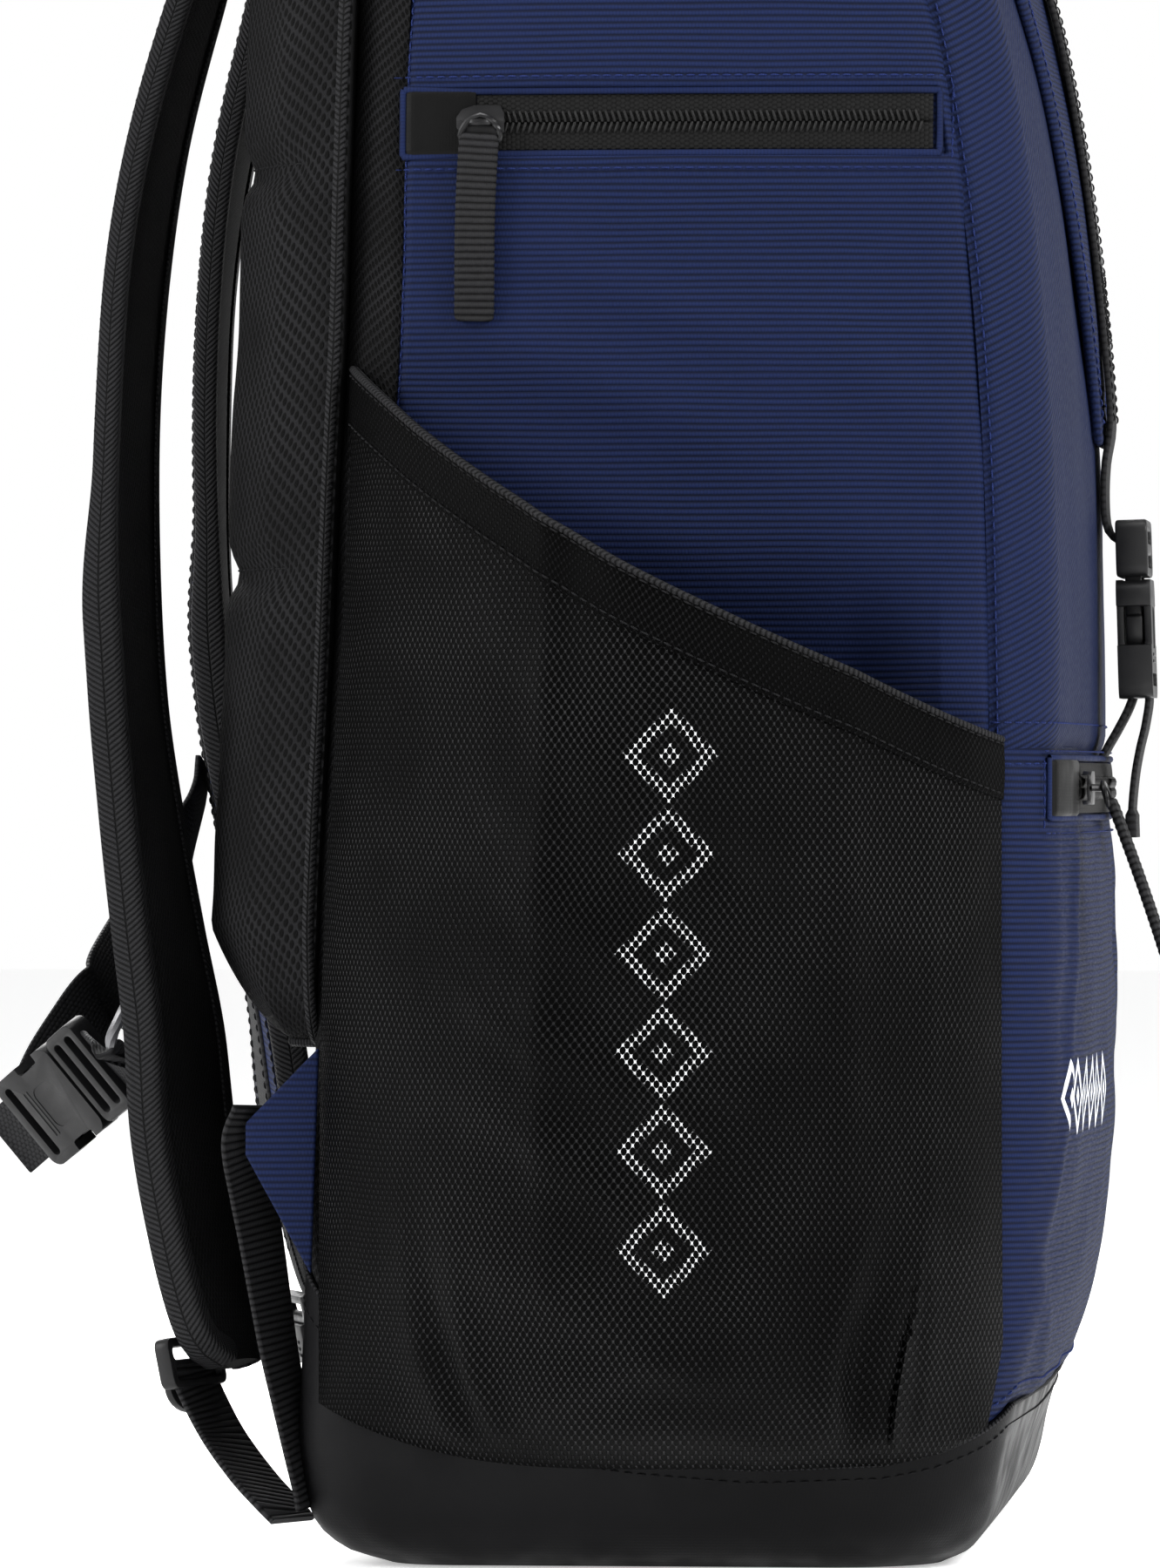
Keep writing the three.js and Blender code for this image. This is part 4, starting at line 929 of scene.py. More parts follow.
def make_lid():
    qs = np.concatenate([np.linspace(0, 1, 10)[:-1], np.linspace(1, 2.02, 12)[:-1], np.linspace(2.02, 2.2, 8)[:-1], np.linspace(2.2, 3, 12)[:-1], np.linspace(3, 4, 22)[:-1], np.linspace(4, 4.86, 34)[:-1], np.linspace(4.86, 5, 8)])
    OFF = 1.3 + 2.6
    def low(q):
        if q < 2.02: return 482.5
        if q < 2.2: return lerp(482.5, 446.5, float(smooth(2.02, 2.2, q)))
        if q < 3: return 446.0
        a, b = 280.0, 450.0
        for _ in range(30):
            z = (a + b) / 2
            x = float(body(q, z, OFF, rec=False)[..., 0])
            if z > tongue_z(x): b = z
            else: a = z
        return (a + b) / 2
    zl = np.array([low(q) for q in qs])
    n = 46
    rows = []
    for t in np.linspace(0, 1, n):
        z = zl + (503.0 - zl) * t
        rows.append(body(qs, z, OFF + 2.4 * smooth(440, 503, z), rec=False) + [0, 0, 1.0] * np.ones((len(qs), 1)) * (2.6 * smooth(440, 503, z))[:, None])
    ringtop = rows[-1]
    c = np.array([0, 52.0, 508.3])
    for f in (0.75, 0.5, 0.27, 0.1, 0.02):
        r = c + (ringtop - c) * [f, f, 1]
        r[:, 2] = ringtop[:, 2] + (508.3 - ringtop[:, 2]) * (1 - f * f)
        rows.append(r)
    L = np.array(rows).transpose(1, 0, 2)  # [q][row]
    P = np.concatenate([L, L[::-1][1:] * [-1, 1, 1]])
    out = P - np.array([0, 30.0, 380.0])
    x, y, z = P[..., 0], P[..., 1], P[..., 2]
    uv0 = arc_uv(P)
    d = uv0[..., 1]
    a = -0.8 * np.exp(-(d / 1.6) ** 2) + 0.25 * np.exp(-((d - 9.5) / 1.4) ** 2) * -2.0
    a += wrinkle(P, 66, 1.1, 21.0) * smooth(6, 30, d)
    # soft draping folds over the front shoulders of the bag
    for sx in (-1, 1):
        dd = (x * sx - 70) * 0.8 - (z - 440) * 0.6
        a += 1.3 * np.exp(-(dd / 8.0) ** 2) * smooth(390, 430, z) * (1 - smooth(478, 496, z)) * (1 - smooth(0, 30, y))
    P = displace(P, a, out)
    nl = pnorm(P, out)
    wb = smooth(0.25, 0.7, nl[..., 1])
    ws = smooth(0.55, 0.85, np.abs(nl[..., 0])) * (1 - smooth(478, 496, z))
    uv = np.stack([x + y * ws, z * (1 - wb) + (1008 - z) * wb + y * (1 - ws)], -1)
    o = sheet_piece("lid_cloth", P, 2.3, out, "navy", rides="lid", uv=uv, sharp=50)
    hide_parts("lid")
    N = pnorm(P, out)
    # edge binding and the double row of stitching
    E = P[:, 0]
    nrm = N[:, 1]
    T = np.gradient(E, axis=0); T /= np.linalg.norm(T, axis=1, keepdims=True)
    inw = np.cross(nrm, T)
    if np.mean(np.sum(inw * (P[:, 3] - P[:, 0]), 1)) < 0: inw = -inw
    prof = [[-1.0, 0.9], [0.4, 1.25], [3.4, 0.75], [3.4, -0.2], [0, -1.1], [-1.0, -1.0], [-1.5, 0]]
    b = sweep("lid_edge", E - nrm * 0.7, inw, [[p[0], p[1]] for p in prof], "navy_diag", rides="lid", sharp=60)
    def row_at(dist):
        out_p, out_n = [], []
        for i in range(len(P)):
            dd = uv0[i, :, 1]
            out_p.append([np.interp(dist, dd, P[i, :, k]) for k in range(3)])
            out_n.append([np.interp(dist, dd, N[i, :, k]) for k in range(3)])
        return np.array(out_p), np.array(out_n)
    s = stitches("lid_stitch", [row_at(4.6), row_at(9.4)], rides="lid", pitch=3.0)
    return P, N


LP, LN = make_lid()


# ------------------------------------------------------------------ bottle pockets
def net_columns(m):
    t = np.concatenate([np.linspace(0, 0.06, 300)[:-1], np.linspace(0.06, 0.94, 400)[:-1], np.linspace(0.94, 1, 300)])
    p = pocket(t, 0.55 + 0 * t, 2.7)
    d = np.concatenate([[0], np.cumsum(np.linalg.norm(np.diff(p, axis=0), axis=1))])
    return np.interp(np.linspace(0, d[-1], m), d, t)


def net_grid(m, n, off, vtop=1.0, seed=0.0, folds=True):
    u = net_columns(m)[:, None]
    v = (np.linspace(0, 1, n) ** 1.25)[None] * vtop
    P = pocket(u, v, off)
    yb, yf = float(backY(32.0)), float(frontY(32.0))
    rb, rf = (float(r) for r in radii(32.0))
    yy = P[:, :1, 1]
    q = np.where(yy > yf + rf, 2 + (yb - rb - yy) / (yb - rb - yf - rf), 3 + np.arcsin(np.clip((yf + rf - yy) / rf, 0, 1)) * 2 / np.pi)
    q = np.where(yy > yb - rb, 1 + np.arccos(np.clip((yy - yb + rb) / rb, 0, 1)) * 2 / np.pi, q)
    low = np.minimum(P[:, :1, 2] - 1.0, baseTop(q) + 0.1)
    P[..., 2] += (low - P[:, :1, 2]) * (1 - smooth(0, 0.16, v))
    # the stretched net bridges the panel's corner line instead of following it
    w = np.exp(-0.5 * (np.arange(-14, 15) / 5.0) ** 2); w /= w.sum()
    soft = np.apply_along_axis(lambda c: np.convolve(np.pad(c, 14, mode="reflect", reflect_type="odd"), w, "valid"), 0, P[..., 0])
    c = np.arange(m)[:, None]
    P[..., 0] += (np.minimum(soft, P[..., 0] + 1.5) - P[..., 0]) * smooth(3, 16, np.minimum(c, m - 1 - c))
    out = P * [1, 1, 0] - [-100, 14, 0]
    if folds:
        y, z = P[..., 1], P[..., 2]
        U, Vv = np.broadcast_arrays(u, v)
        mid = np.sin(np.pi * np.clip(U, 0, 1)) * smooth(0.03, 0.2, Vv)
        a = wrinkle(P, 40, 2.3, 31 + seed, (1, 1, 0.42)) * mid
        # tension folds from the high back corner down towards the front, and a pleat at each lower corner
        for k, (c, w, h) in enumerate(((96, 5.5, 3.0), (70, 6.5, 2.6), (38, 7.0, 2.0), (128, 5.0, 2.6), (156, 6.0, 2.2), (188, 7.0, 1.8))):
            d = (y - 96) * 0.55 + (296 - z) * 0.83 - c - 6 * np.sin(y / 24.0 + k)
            a += 0.85 * h * np.exp(-(d / (1.35 * w)) ** 2) * smooth(84, 40, y) * smooth(-60, 0, y) * mid
        for yc, s in ((58, 1), (-38, -1)):
            d = (y - yc) - s * (z - 40) * 0.2 + 1.6 * np.sin(z / 13.0)
            a += -1.8 * np.exp(-(d / 2.6) ** 2) * (1 - smooth(42, 84, z)) * smooth(27, 36, z)
            a += 2.0 * np.exp(-((d - 6.5) / 4.2) ** 2) * (1 - smooth(48, 120, z)) * smooth(25, 38, z)
            a += 1.8 * np.exp(-((d + 6.5) / 4.2) ** 2) * (1 - smooth(45, 104, z)) * smooth(25, 38, z)
        # strain lines along the bottom, where the net is gathered into the base seam
        a += 0.8 * np.sin((z + 0.12 * (y - 5) ** 2 / 10.0) / 4.2) * (1 - smooth(44, 66, z)) * smooth(26, 36, z) * np.exp(-((y - 8) / 46) ** 2)
        # the edges of a bottle's column
        for yc in (36, -38):
            a += 1.3 * np.exp(-((y - yc) / 4.5) ** 2) * smooth(60, 110, z) * mid
        P = displace(P, a * smooth(0.3, 0.8, np.abs(pnorm(P, out)[..., 0])), out)
    return P, out


def pocket_piece(mirror, side):
    P, out = net_grid(170, 150, 2.7, 1.0, seed=3.0 * mirror)
    y, z = P[..., 1], P[..., 2]
    uv = np.stack([arc_uv(P)[..., 0], z], -1)
    o = sheet_piece(f"pocket_net_{side}", P, 1.1, out, "net_marks", uv=uv, mirror=mirror, sharp=70)
    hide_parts(f"bottle_pocket_{side}")
    N = pnorm(P, out)
    # the doubled band along the mouth
    m = 170
    u, uc = np.linspace(0, 1, m), net_columns(m)
    bot = []
    for t in np.linspace(1, 0, 12):
        vz = 1 - 0.072 * t * 1.0
        r = pocket(uc, np.full(m, 1.0), 0.0, drop=15.0 * t)
        bot.append(pocket_on(P, u, r[:, 2], 0.55 + 0.35 * math.sin(math.pi * t)))
    B = np.array(bot).transpose(1, 0, 2)
    uvb = np.stack([arc_uv(B)[..., 0], arc_uv(B)[..., 1]], -1)
    b = sheet_piece(f"pocket_band_{side}", B, 1.9, out[:, :12], "net_hem", uv=uvb, mirror=mirror, sharp=70)
    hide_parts(f"pocket_hem_{side}")
    NB = pnorm(B, out[:, :12])
    lines = [(B[:, 1], NB[:, 1]), (B[:, 10], NB[:, 10])]
    edge = sweep(f"pocket_edge_{side}", B[:, -1] - NB[:, -1] * 0.9, NB[:, -1], [[1.35 * math.cos(t), 1.1 * math.sin(t)] for t in np.linspace(0, 2 * math.pi, 9)[:-1]], "bind", mirror=mirror)
    if mirror:
        lines = flip(lines)
    s = stitches(f"pocket_stitch_{side}", lines, "thread_black", pitch=3.0)
    return P


def pocket_on(P, u, z, lift):
    """Points of the net's surface at columns u and heights z, lifted outwards."""
    m = P.shape[0]
    out = np.empty((len(u), 3))
    n = pnorm(P, P * [1, 1, 0] - [-100, 14, 0])
    for i in range(len(u)):
        k = u[i] * (m - 1)
        a = int(min(math.floor(k), m - 2)); f = k - a
        col = P[a] * (1 - f) + P[a + 1] * f
        nc = n[a] * (1 - f) + n[a + 1] * f
        zz = col[:, 2]
        p = np.array([np.interp(z[i], zz, col[:, c]) for c in range(3)])
        q = np.array([np.interp(z[i], zz, nc[:, c]) for c in range(3)])
        p[2] = max(p[2], z[i]) if z[i] > zz[-1] else p[2]
        out[i] = p + q * lift
    return out


_P0, _ = net_grid(170, 60, 2.7, folds=False)
_u0 = arc_uv(_P0)[..., 0]
MARK_U = float(np.interp(-4.4, -_P0[:, 30, 1], _u0[:, 30]))
MAT["net_marks"] = net("pocket_net_printed", marks=(MARK_U, 71.0, 24.2))
POCKET = {}
for _m, _s in ((False, "left"), (True, "right")):
    POCKET[_s] = pocket_piece(_m, _s)


# ------------------------------------------------------------------ padded back
def pad_out(x, z):
    ax = np.abs(x)
    across = np.clip((153 - ax) / 40, 0, 1) ** 0.6 * np.clip((ax - 20) / 26, 0, 1) ** 0.55
    ends = np.clip((z - 131) / 30, 0, 1) ** 0.55 * np.clip((453 - z) / 34, 0, 1) ** 0.55
    return 5 + 26 * across * ends


def back_pad(mirror, side):
    xs = -152 + 131 * ease(np.linspace(0, 1, 46))
    zs = 132 + 320 * ease(np.linspace(0, 1, 110))
    X, Z = np.meshgrid(xs, zs, indexing="ij")
    base = backY(Z) + 0.5
    Y = base + pad_out(X, Z) - np.where(np.abs(X) > 140, (np.abs(X) - 140) * 0.5, 0)
    Y += -3.4 * (np.exp(-((Z - 250) / 5.0) ** 2) + np.exp(-((Z - 352) / 5.0) ** 2)) * smooth(151, 139, -X) * smooth(22, 33, -X)  # sewn channels
    tt = np.clip(np.maximum(Z - 438, 146 - Z) / 14, 0, 1)
    edge = np.minimum(152, halfW(Z) - 3) - 14 * (1 - np.sqrt(np.maximum(1 - tt * tt, 0)))
    X = -21 + (X + 21) * (edge - 21) / 131
    P = np.stack([X, Y, Z], -1)
    P = displace(P, wrinkle(P, 40, 0.9, 41.0) * smooth(0, 8, Y - base - 4), BACK)
    def walled(G, b):
        for ax in (0, 1):
            sl = [slice(None)] * 2
            ends = []
            for e in (0, -1):
                sl[ax] = slice(0, 1) if e == 0 else slice(-1, None)
                w = G[tuple(sl)].copy()
                w[..., 1] = backY(w[..., 2]) + 0.5
                m = w.copy()
                m[..., 1] = (w[..., 1] + G[tuple(sl)][..., 1]) / 2
                ends.append([w, m])
            G = np.concatenate([ends[0][0], ends[0][1], G, ends[1][1], ends[1][0]], ax)
        return G
    P = walled(P, base)
    V, F = slab(P, 2.0, BACK)
    k = P.shape[0] * P.shape[1]
    V[k:] = np.stack([P[..., 0], backY(P[..., 2]) + 0.45, P[..., 2]], -1).reshape(-1, 3)
    uv = np.concatenate([arc_uv(P).reshape(-1, 2)] * 2)
    if mirror:
        V, F = V * [-1, 1, 1], F[:, ::-1]
    o = mk(f"pad_{side}", V, F, uv, "air", sharp=60)
    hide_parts(f"back_pad_{side}")
    m, k = P.shape[:2]
    G = V[:m * k].reshape(m, k, 3)
    loop = np.concatenate([G[2:-2, 2], G[-3, 3:-3], G[2:-2, -3][::-1], G[2, 3:-3][::-1], G[2:3, 2]])
    loop = resample(loop, 260)
    nr = np.repeat([[0, 1.0, 0]], 260, 0)
    pp = sweep(f"pad_piping_{side}", loop + [0, 0.2, 0], nr, [[1.5 * math.cos(a), 1.5 * math.sin(a)] for a in np.linspace(0, 2 * math.pi, 11)[:-1]], "bind", caps=False, sharp=80)
    ln = []
    for zc in (250, 352):
        j = int(np.argmin(np.abs(G[m // 2, :, 2] - zc)))
        row = G[6:-6, j]
        ln.append((row, np.repeat([[0, 1.0, 0]], len(row), 0)))
    st = stitches(f"pad_stitch_{side}", ln, "thread_black", pitch=3.4, r=0.3)


for _m, _s in ((False, "left"), (True, "right")):
    back_pad(_m, _s)


def lumbar():
    X, Z = np.meshgrid(np.linspace(-17, 17, 18), np.linspace(140, 204, 34), indexing="ij")
    base = backY(Z) + 0.5
    prof = np.clip((17.4 - np.abs(X)) / 7, 0, 1) ** 0.5 * np.clip((Z - 139.6) / 8, 0, 1) ** 0.5 * np.clip((204.4 - Z) / 8, 0, 1) ** 0.5
    P = np.stack([X, base + 1.5 + 15 * prof, Z], -1)
    V, F = slab(P, 2.0, BACK)
    k = P.shape[0] * P.shape[1]
    V[k:] = np.stack([X, base, Z], -1).reshape(-1, 3)
    o = mk("pad_lumbar", V, F, np.concatenate([arc_uv(P).reshape(-1, 2)] * 2), "air", sharp=60)
    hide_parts("lumbar_pad")


lumbar()


# ------------------------------------------------------------------ shoulder straps
def strap_frame(n):
    zs = np.linspace(470, 50, n)
    x, y, w, a = (np.interp(zs, _sz, k) for k in (_sx, _sy, _sw, _sa))
    C = np.stack([-x, y, zs], -1)
    r = np.radians(a)
    Wd = np.stack([np.cos(r), -np.sin(r), 0 * r], -1)
    return zs, C, Wd, w


def shoulder(mirror, side):
    n = 150
    zs, C, Wd, w = strap_frame(n)
    T, Wd, N = frames(C, Wd)
    if N[n // 2][1] < 0: N = -N  # N away from the bag
    t = np.where(zs > 455, lerp(9, 6, smooth(455, 470, zs)), 9.0)
    thin = 3.2 * smooth(236, 276, zs) * smooth(455, 425, zs)  # the padding is slimmer above the chest strap
    t = t - thin
    C = C - N * (thin / 2)[:, None]
    end = np.clip((zs - 50) / 9, 0, 1)
    wr = w * (0.45 + 0.55 * np.sqrt(1 - (1 - end) ** 2))  # rounded tip
    k = 18
    s = np.linspace(-1, 1, k)
    crown = (1 - np.abs(s) ** 3.2)
    def face(sign, inset, extra):
        half = (wr / 2 - inset)[:, None]
        th = (t[:, None] / 2 - 1.4) + 1.4 * crown[None] + extra
        return C[:, None] + Wd[:, None] * (s[None] * half)[..., None] + N[:, None] * (sign * th)[..., None]
    A, B = face(1, 1.0, 0.0), face(-1, 1.0, 0.0)
    bump = fbm(A.reshape(-1, 3), 26, 51.0).reshape(A.shape[:2]) * 0.35
    A = A + N[:, None] * bump[..., None]
    P = np.concatenate([A, B[:, ::-1]], 1)
    m, kk = P.shape[:2]
    V = P.reshape(-1, 3)
    F = [[i * kk + j, i * kk + (j + 1) % kk, (i + 1) * kk + (j + 1) % kk, (i + 1) * kk + j] for i in range(m - 1) for j in range(kk)]
    F += [list(range(kk))[::-1], [(m - 1) * kk + j for j in range(kk)]]
    f = F[0]
    if np.dot(np.cross(V[f[1]] - V[f[0]], V[f[2]] - V[f[0]]), N[0]) < 0: F = [g[::-1] for g in F]
    d = np.concatenate([[0], np.cumsum(np.linalg.norm(np.diff(C, axis=0), axis=1))])
    ux = np.concatenate([s * 30, s[::-1] * 30])
    UV = np.stack([np.repeat(ux[None], m, 0), np.repeat(d[:, None], kk, 1)], -1).reshape(-1, 2)
    if mirror: V, F = V * [-1, 1, 1], [g[::-1] for g in F]
    o = mk(f"strap_pad_{side}", V, F, UV, "air_fine", sharp=60)
    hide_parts(f"shoulder_strap_{side}")
    # binding tape folded over both edges
    for e, nm in ((-1, "outer"), (1, "inner")):
        edge = C + Wd * (e * (wr / 2 - 0.6))[:, None]
        hh = t / 2 + 0.25
        prof = [[0.75, 0], [0.55, 0.62], [0.1, 0.93], [-1.0, 1.0], [-5.2, 0.93], [-5.2, 0.80], [-1.0, 0.86], [-0.15, 0.72], [-0.15, -0.72], [-1.0, -0.86], [-5.2, -0.80], [-5.2, -0.93], [-1.0, -1.0], [0.1, -0.93], [0.55, -0.62]]
        sc = np.stack([np.ones(n), hh], 1)
        b = sweep(f"strap_binding_{nm}_{side}", edge, Wd * e, prof, "bind", mirror=mirror, scale=sc, sharp=70, uvw=np.array([0, 2.5, 4.2, 5.4, 9.4, 9.6, 5.4, 4.2, -4.2, -5.4, -9.6, -9.4, -5.4, -4.2, -2.5]))
    # webbing sewn down the middle of the outer face, and a navy facing below the chest
    i0, i1 = 8, n - 14
    off = N * (t / 2 + 1.0)[:, None]
    c = C[i0:i1] + off[i0:i1]
    b = sweep(f"strap_web_{side}", c, Wd[i0:i1], flat_profile(22, 1.4), "web", mirror=mirror)
    j0, j1 = int(n * 0.5), int(n * 0.9)
    ff = sweep(f"strap_facing_{side}", (C + N * (t / 2 + 0.2)[:, None])[j0:j1], Wd[j0:j1], flat_profile(1.0, 1.2), "navy", mirror=mirror, scale=np.stack([(wr - 9.5)[j0:j1], np.ones(j1 - j0)], 1))
    lines = []
    for e in (-1, 1):
        lines.append((c + Wd[i0:i1] * e * 9.2 + N[i0:i1] * 0.7, N[i0:i1]))
        ee = C + Wd * (e * (wr / 2 - 4.4))[:, None] + N * (t / 2 + 0.35)[:, None]
        lines.append((ee[4:-6], N[4:-6]))
    if mirror: lines = flip(lines)
    st = stitches(f"strap_stitch_{side}", lines, "thread_black", pitch=3.2)


for _m, _s in ((False, "left"), (True, "right")):
    shoulder(_m, _s)


# ------------------------------------------------------------------ hard-part helpers
def rbox(size, r=0.4, at=(0, 0, 0), seg=2, rot=None):
    bm = bmesh.new()
    bmesh.ops.create_cube(bm, size=1)
    bmesh.ops.scale(bm, vec=size, verts=bm.verts)
    if r > 0:
        bmesh.ops.bevel(bm, geom=list(bm.edges), offset=r, segments=seg, affect="EDGES", profile=0.5)
    if rot is not None:
        bmesh.ops.transform(bm, matrix=rot.to_4x4(), verts=bm.verts)
    bmesh.ops.translate(bm, vec=at, verts=bm.verts)
    V = np.array([v.co[:] for v in bm.verts])
    F = [[v.index for v in f.verts] for f in bm.faces]
    bm.free()
    return V, F


def cut(solid, cutters, bevel=0.3):
    """Takes the cutters out of a solid and rounds the edges; all (V, F) in mm."""
    def ob(vf, nm):
        me = bpy.data.meshes.new(nm)
        me.from_pydata([list(v) for v in vf[0]], [], [list(f) for f in vf[1]])
        me.update()
        o = bpy.data.objects.new(nm, me)
        bpy.context.scene.collection.objects.link(o)
        return o
    a = ob(solid, "tmp_a")
    bs = []
    for i, c in enumerate(cutters):
        b = ob(c, f"tmp_b{i}")
        m = a.modifiers.new("b", "BOOLEAN")
        m.operation = "DIFFERENCE"
        m.solver = "EXACT"
        m.object = b
        bs.append(b)
    if bevel:
        m = a.modifiers.new("v", "BEVEL")
        m.width = bevel
        m.segments = 2
        m.limit_method = "ANGLE"
        m.angle_limit = math.radians(38)
    dg = bpy.context.evaluated_depsgraph_get()
    e = a.evaluated_get(dg)
    me = e.to_mesh()
    V = np.array([v.co[:] for v in me.vertices])
    F = [list(p.vertices) for p in me.polygons]
    e.to_mesh_clear()
    for o in [a] + bs:
        d = o.data
        bpy.data.objects.remove(o)
        bpy.data.meshes.remove(d)
    return V, F


def prism(outline, t, at=(0, 0, 0)):
    """Outline in XY extruded through Z by t, centred."""
    n = len(outline)
    p = np.asarray(outline, float)
    area = np.sum(p[:, 0] * np.roll(p[:, 1], -1) - np.roll(p[:, 0], -1) * p[:, 1])
    if area < 0: p = p[::-1]
    V = np.concatenate([np.c_[p, np.full(n, -t / 2)], np.c_[p, np.full(n, t / 2)]]) + np.asarray(at, float)
    F = [list(range(n))[::-1], list(range(n, 2 * n))] + [[i, (i + 1) % n, n + (i + 1) % n, n + i] for i in range(n)]
    return V, F


def round_rect(w, h, r, cx=0.0, cy=0.0, n=5):
    out = []
    for sx, sy, a0 in ((1, 1, 0), (-1, 1, 90), (-1, -1, 180), (1, -1, 270)):
        for i in range(n + 1):
            a = math.radians(a0 + 90 * i / n)
            out.append([cx + sx * (w / 2 - r) + r * math.cos(a), cy + sy * (h / 2 - r) + r * math.sin(a)])
    return out


def tube(P, r, n=8, closed=False):
    P = np.asarray(P, float)
    T = np.roll(P, -1, 0) - np.roll(P, 1, 0) if closed else np.gradient(P, axis=0)
    T /= np.linalg.norm(T, axis=1, keepdims=True)
    ref = np.array([0.3, 0.5, 0.81])
    A = np.cross(T, ref); A /= np.linalg.norm(A, axis=1, keepdims=True)
    B = np.cross(T, A)
    m = len(P)
    V = np.concatenate([P[i] + r * (np.cos(a)[:, None] * A[i] + np.sin(a)[:, None] * B[i]) for i in range(m) for a in [np.linspace(0, 2 * math.pi, n + 1)[:-1]]])
    F = []
    for i in range(m if closed else m - 1):
        for j in range(n):
            k = (i + 1) % m
            F.append([i * n + j, i * n + (j + 1) % n, k * n + (j + 1) % n, k * n + j])
    if not closed:
        F += [list(range(n))[::-1], [(m - 1) * n + j for j in range(n)]]
    return V, [f[::-1] for f in F] if np.dot(np.cross(V[F[0][1]] - V[F[0][0]], V[F[0][2]] - V[F[0][0]]), V[F[0][0]] - P[0]) < 0 else F


def joined(parts):
    V, F, o = [], [], 0
    for v, f in parts:
        V.append(np.asarray(v)); F += [[i + o for i in g] for g in f]; o += len(v)
    return np.concatenate(V), F


def placed(vf, mat4):
    V = np.asarray(vf[0])
    A = np.array(mat4)
    return V @ A[:3, :3].T + A[:3, 3], vf[1]


def hard(name, parts, mat, rides="bag", matrix=None, mirror=False, sharp=35):
    V, F = joined(parts)
    if matrix is not None: V, F = placed((V, F), matrix)
    if mirror: V, F = V * [-1, 1, 1], [f[::-1] for f in F]
    return mk(name, V, F, V[:, :2], mat, rides, sharp)


def basis(x, y, z, at):
    return Matrix(((x[0], y[0], z[0], at[0]), (x[1], y[1], z[1], at[1]), (x[2], y[2], z[2], at[2]), (0, 0, 0, 1)))


def unit(v):
    v = np.asarray(v, float)
    return v / np.linalg.norm(v)


# ------------------------------------------------------------------ zips
def on_side(y, z, off):
    return np.stack([-(sideX(y, z) + off), y * np.ones_like(z), z * np.ones_like(y)], -1)


SX = -float(sideX(57.0, 362.5))


def pull_tab(name, top, down, face, w, L, rides, mirror=False, mat="web_rib"):
    """Folded ribbed tape: two rolled edges with a channel between, ribs across."""
    top, down, face = np.asarray(top, float), unit(down), unit(face)
    wd = unit(np.cross(down, face))
    n = int(L / 0.52)
    s = np.linspace(0, L, n)
    C = top + s[:, None] * down
    C = C + face * (0.5 * np.sin(s / L * 3.0))[:, None] + wd * (0.35 * np.sin(s / L * 4.2))[:, None]
    rib = 1 + 0.075 * np.sin(2 * np.pi * s / 1.75)
    endr = np.minimum(1, 0.75 + 0.25 * np.sqrt(np.clip(s / 1.5, 0, 1))) * np.minimum(1, 0.82 + 0.18 * np.sqrt(np.clip((L - s) / 1.6, 0, 1)))
    a = w / 2
    prof = [[a, 0], [a - 0.25, 0.85], [a - 1.2, 1.2], [a - 2.6, 1.15], [a - 3.7, 0.55], [0, 0.45], [-a + 3.7, 0.55], [-a + 2.6, 1.15], [-a + 1.2, 1.2], [-a + 0.25, 0.85],
            [-a, 0], [-a + 0.25, -0.85], [-a + 1.2, -1.1], [-a + 2.6, -1.05], [0, -0.7], [a - 2.6, -1.05], [a - 1.2, -1.1], [a - 0.25, -0.85]]
    return sweep(name, C, np.repeat(wd[None], n, 0), prof, mat, rides, mirror, np.stack([endr * (0.985 + 0.2 * (rib - 1)), rib * endr], 1), sharp=70)


def coil_rows(path, up, nor, r=0.42, half=2.5, pitch=1.55):
    """Two rows of slanted loops either side of a centre line. path, up, nor: (n,3) arrays."""
    d = np.concatenate([[0], np.cumsum(np.linalg.norm(np.diff(path, axis=0), axis=1))])
    parts = []
    at = lambda A, x: np.array([np.interp(x, d, A[:, k]) for k in range(3)])
    for i, s in enumerate(np.arange(1.0, d[-1] - 1.0, pitch)):
        for sg in (-1, 1):
            x = s + (0.5 * pitch if sg > 0 else 0)
            if x > d[-1] - 0.8: continue
            c, u, n = at(path, x), unit(at(up, x)), unit(at(nor, x))
            t = unit(np.cross(u, n))
            pts = [c + u * sg * a + t * b + n * h for a, b, h in ((0.15, 0.30, 0.35), (0.8, 0.22, 0.62), (1.6, -0.05, 0.70), (half - 0.25, -0.32, 0.52), (half + 0.1, -0.5, 0.1))]
            parts.append(tube(pts, r, 5))
    return joined(parts)


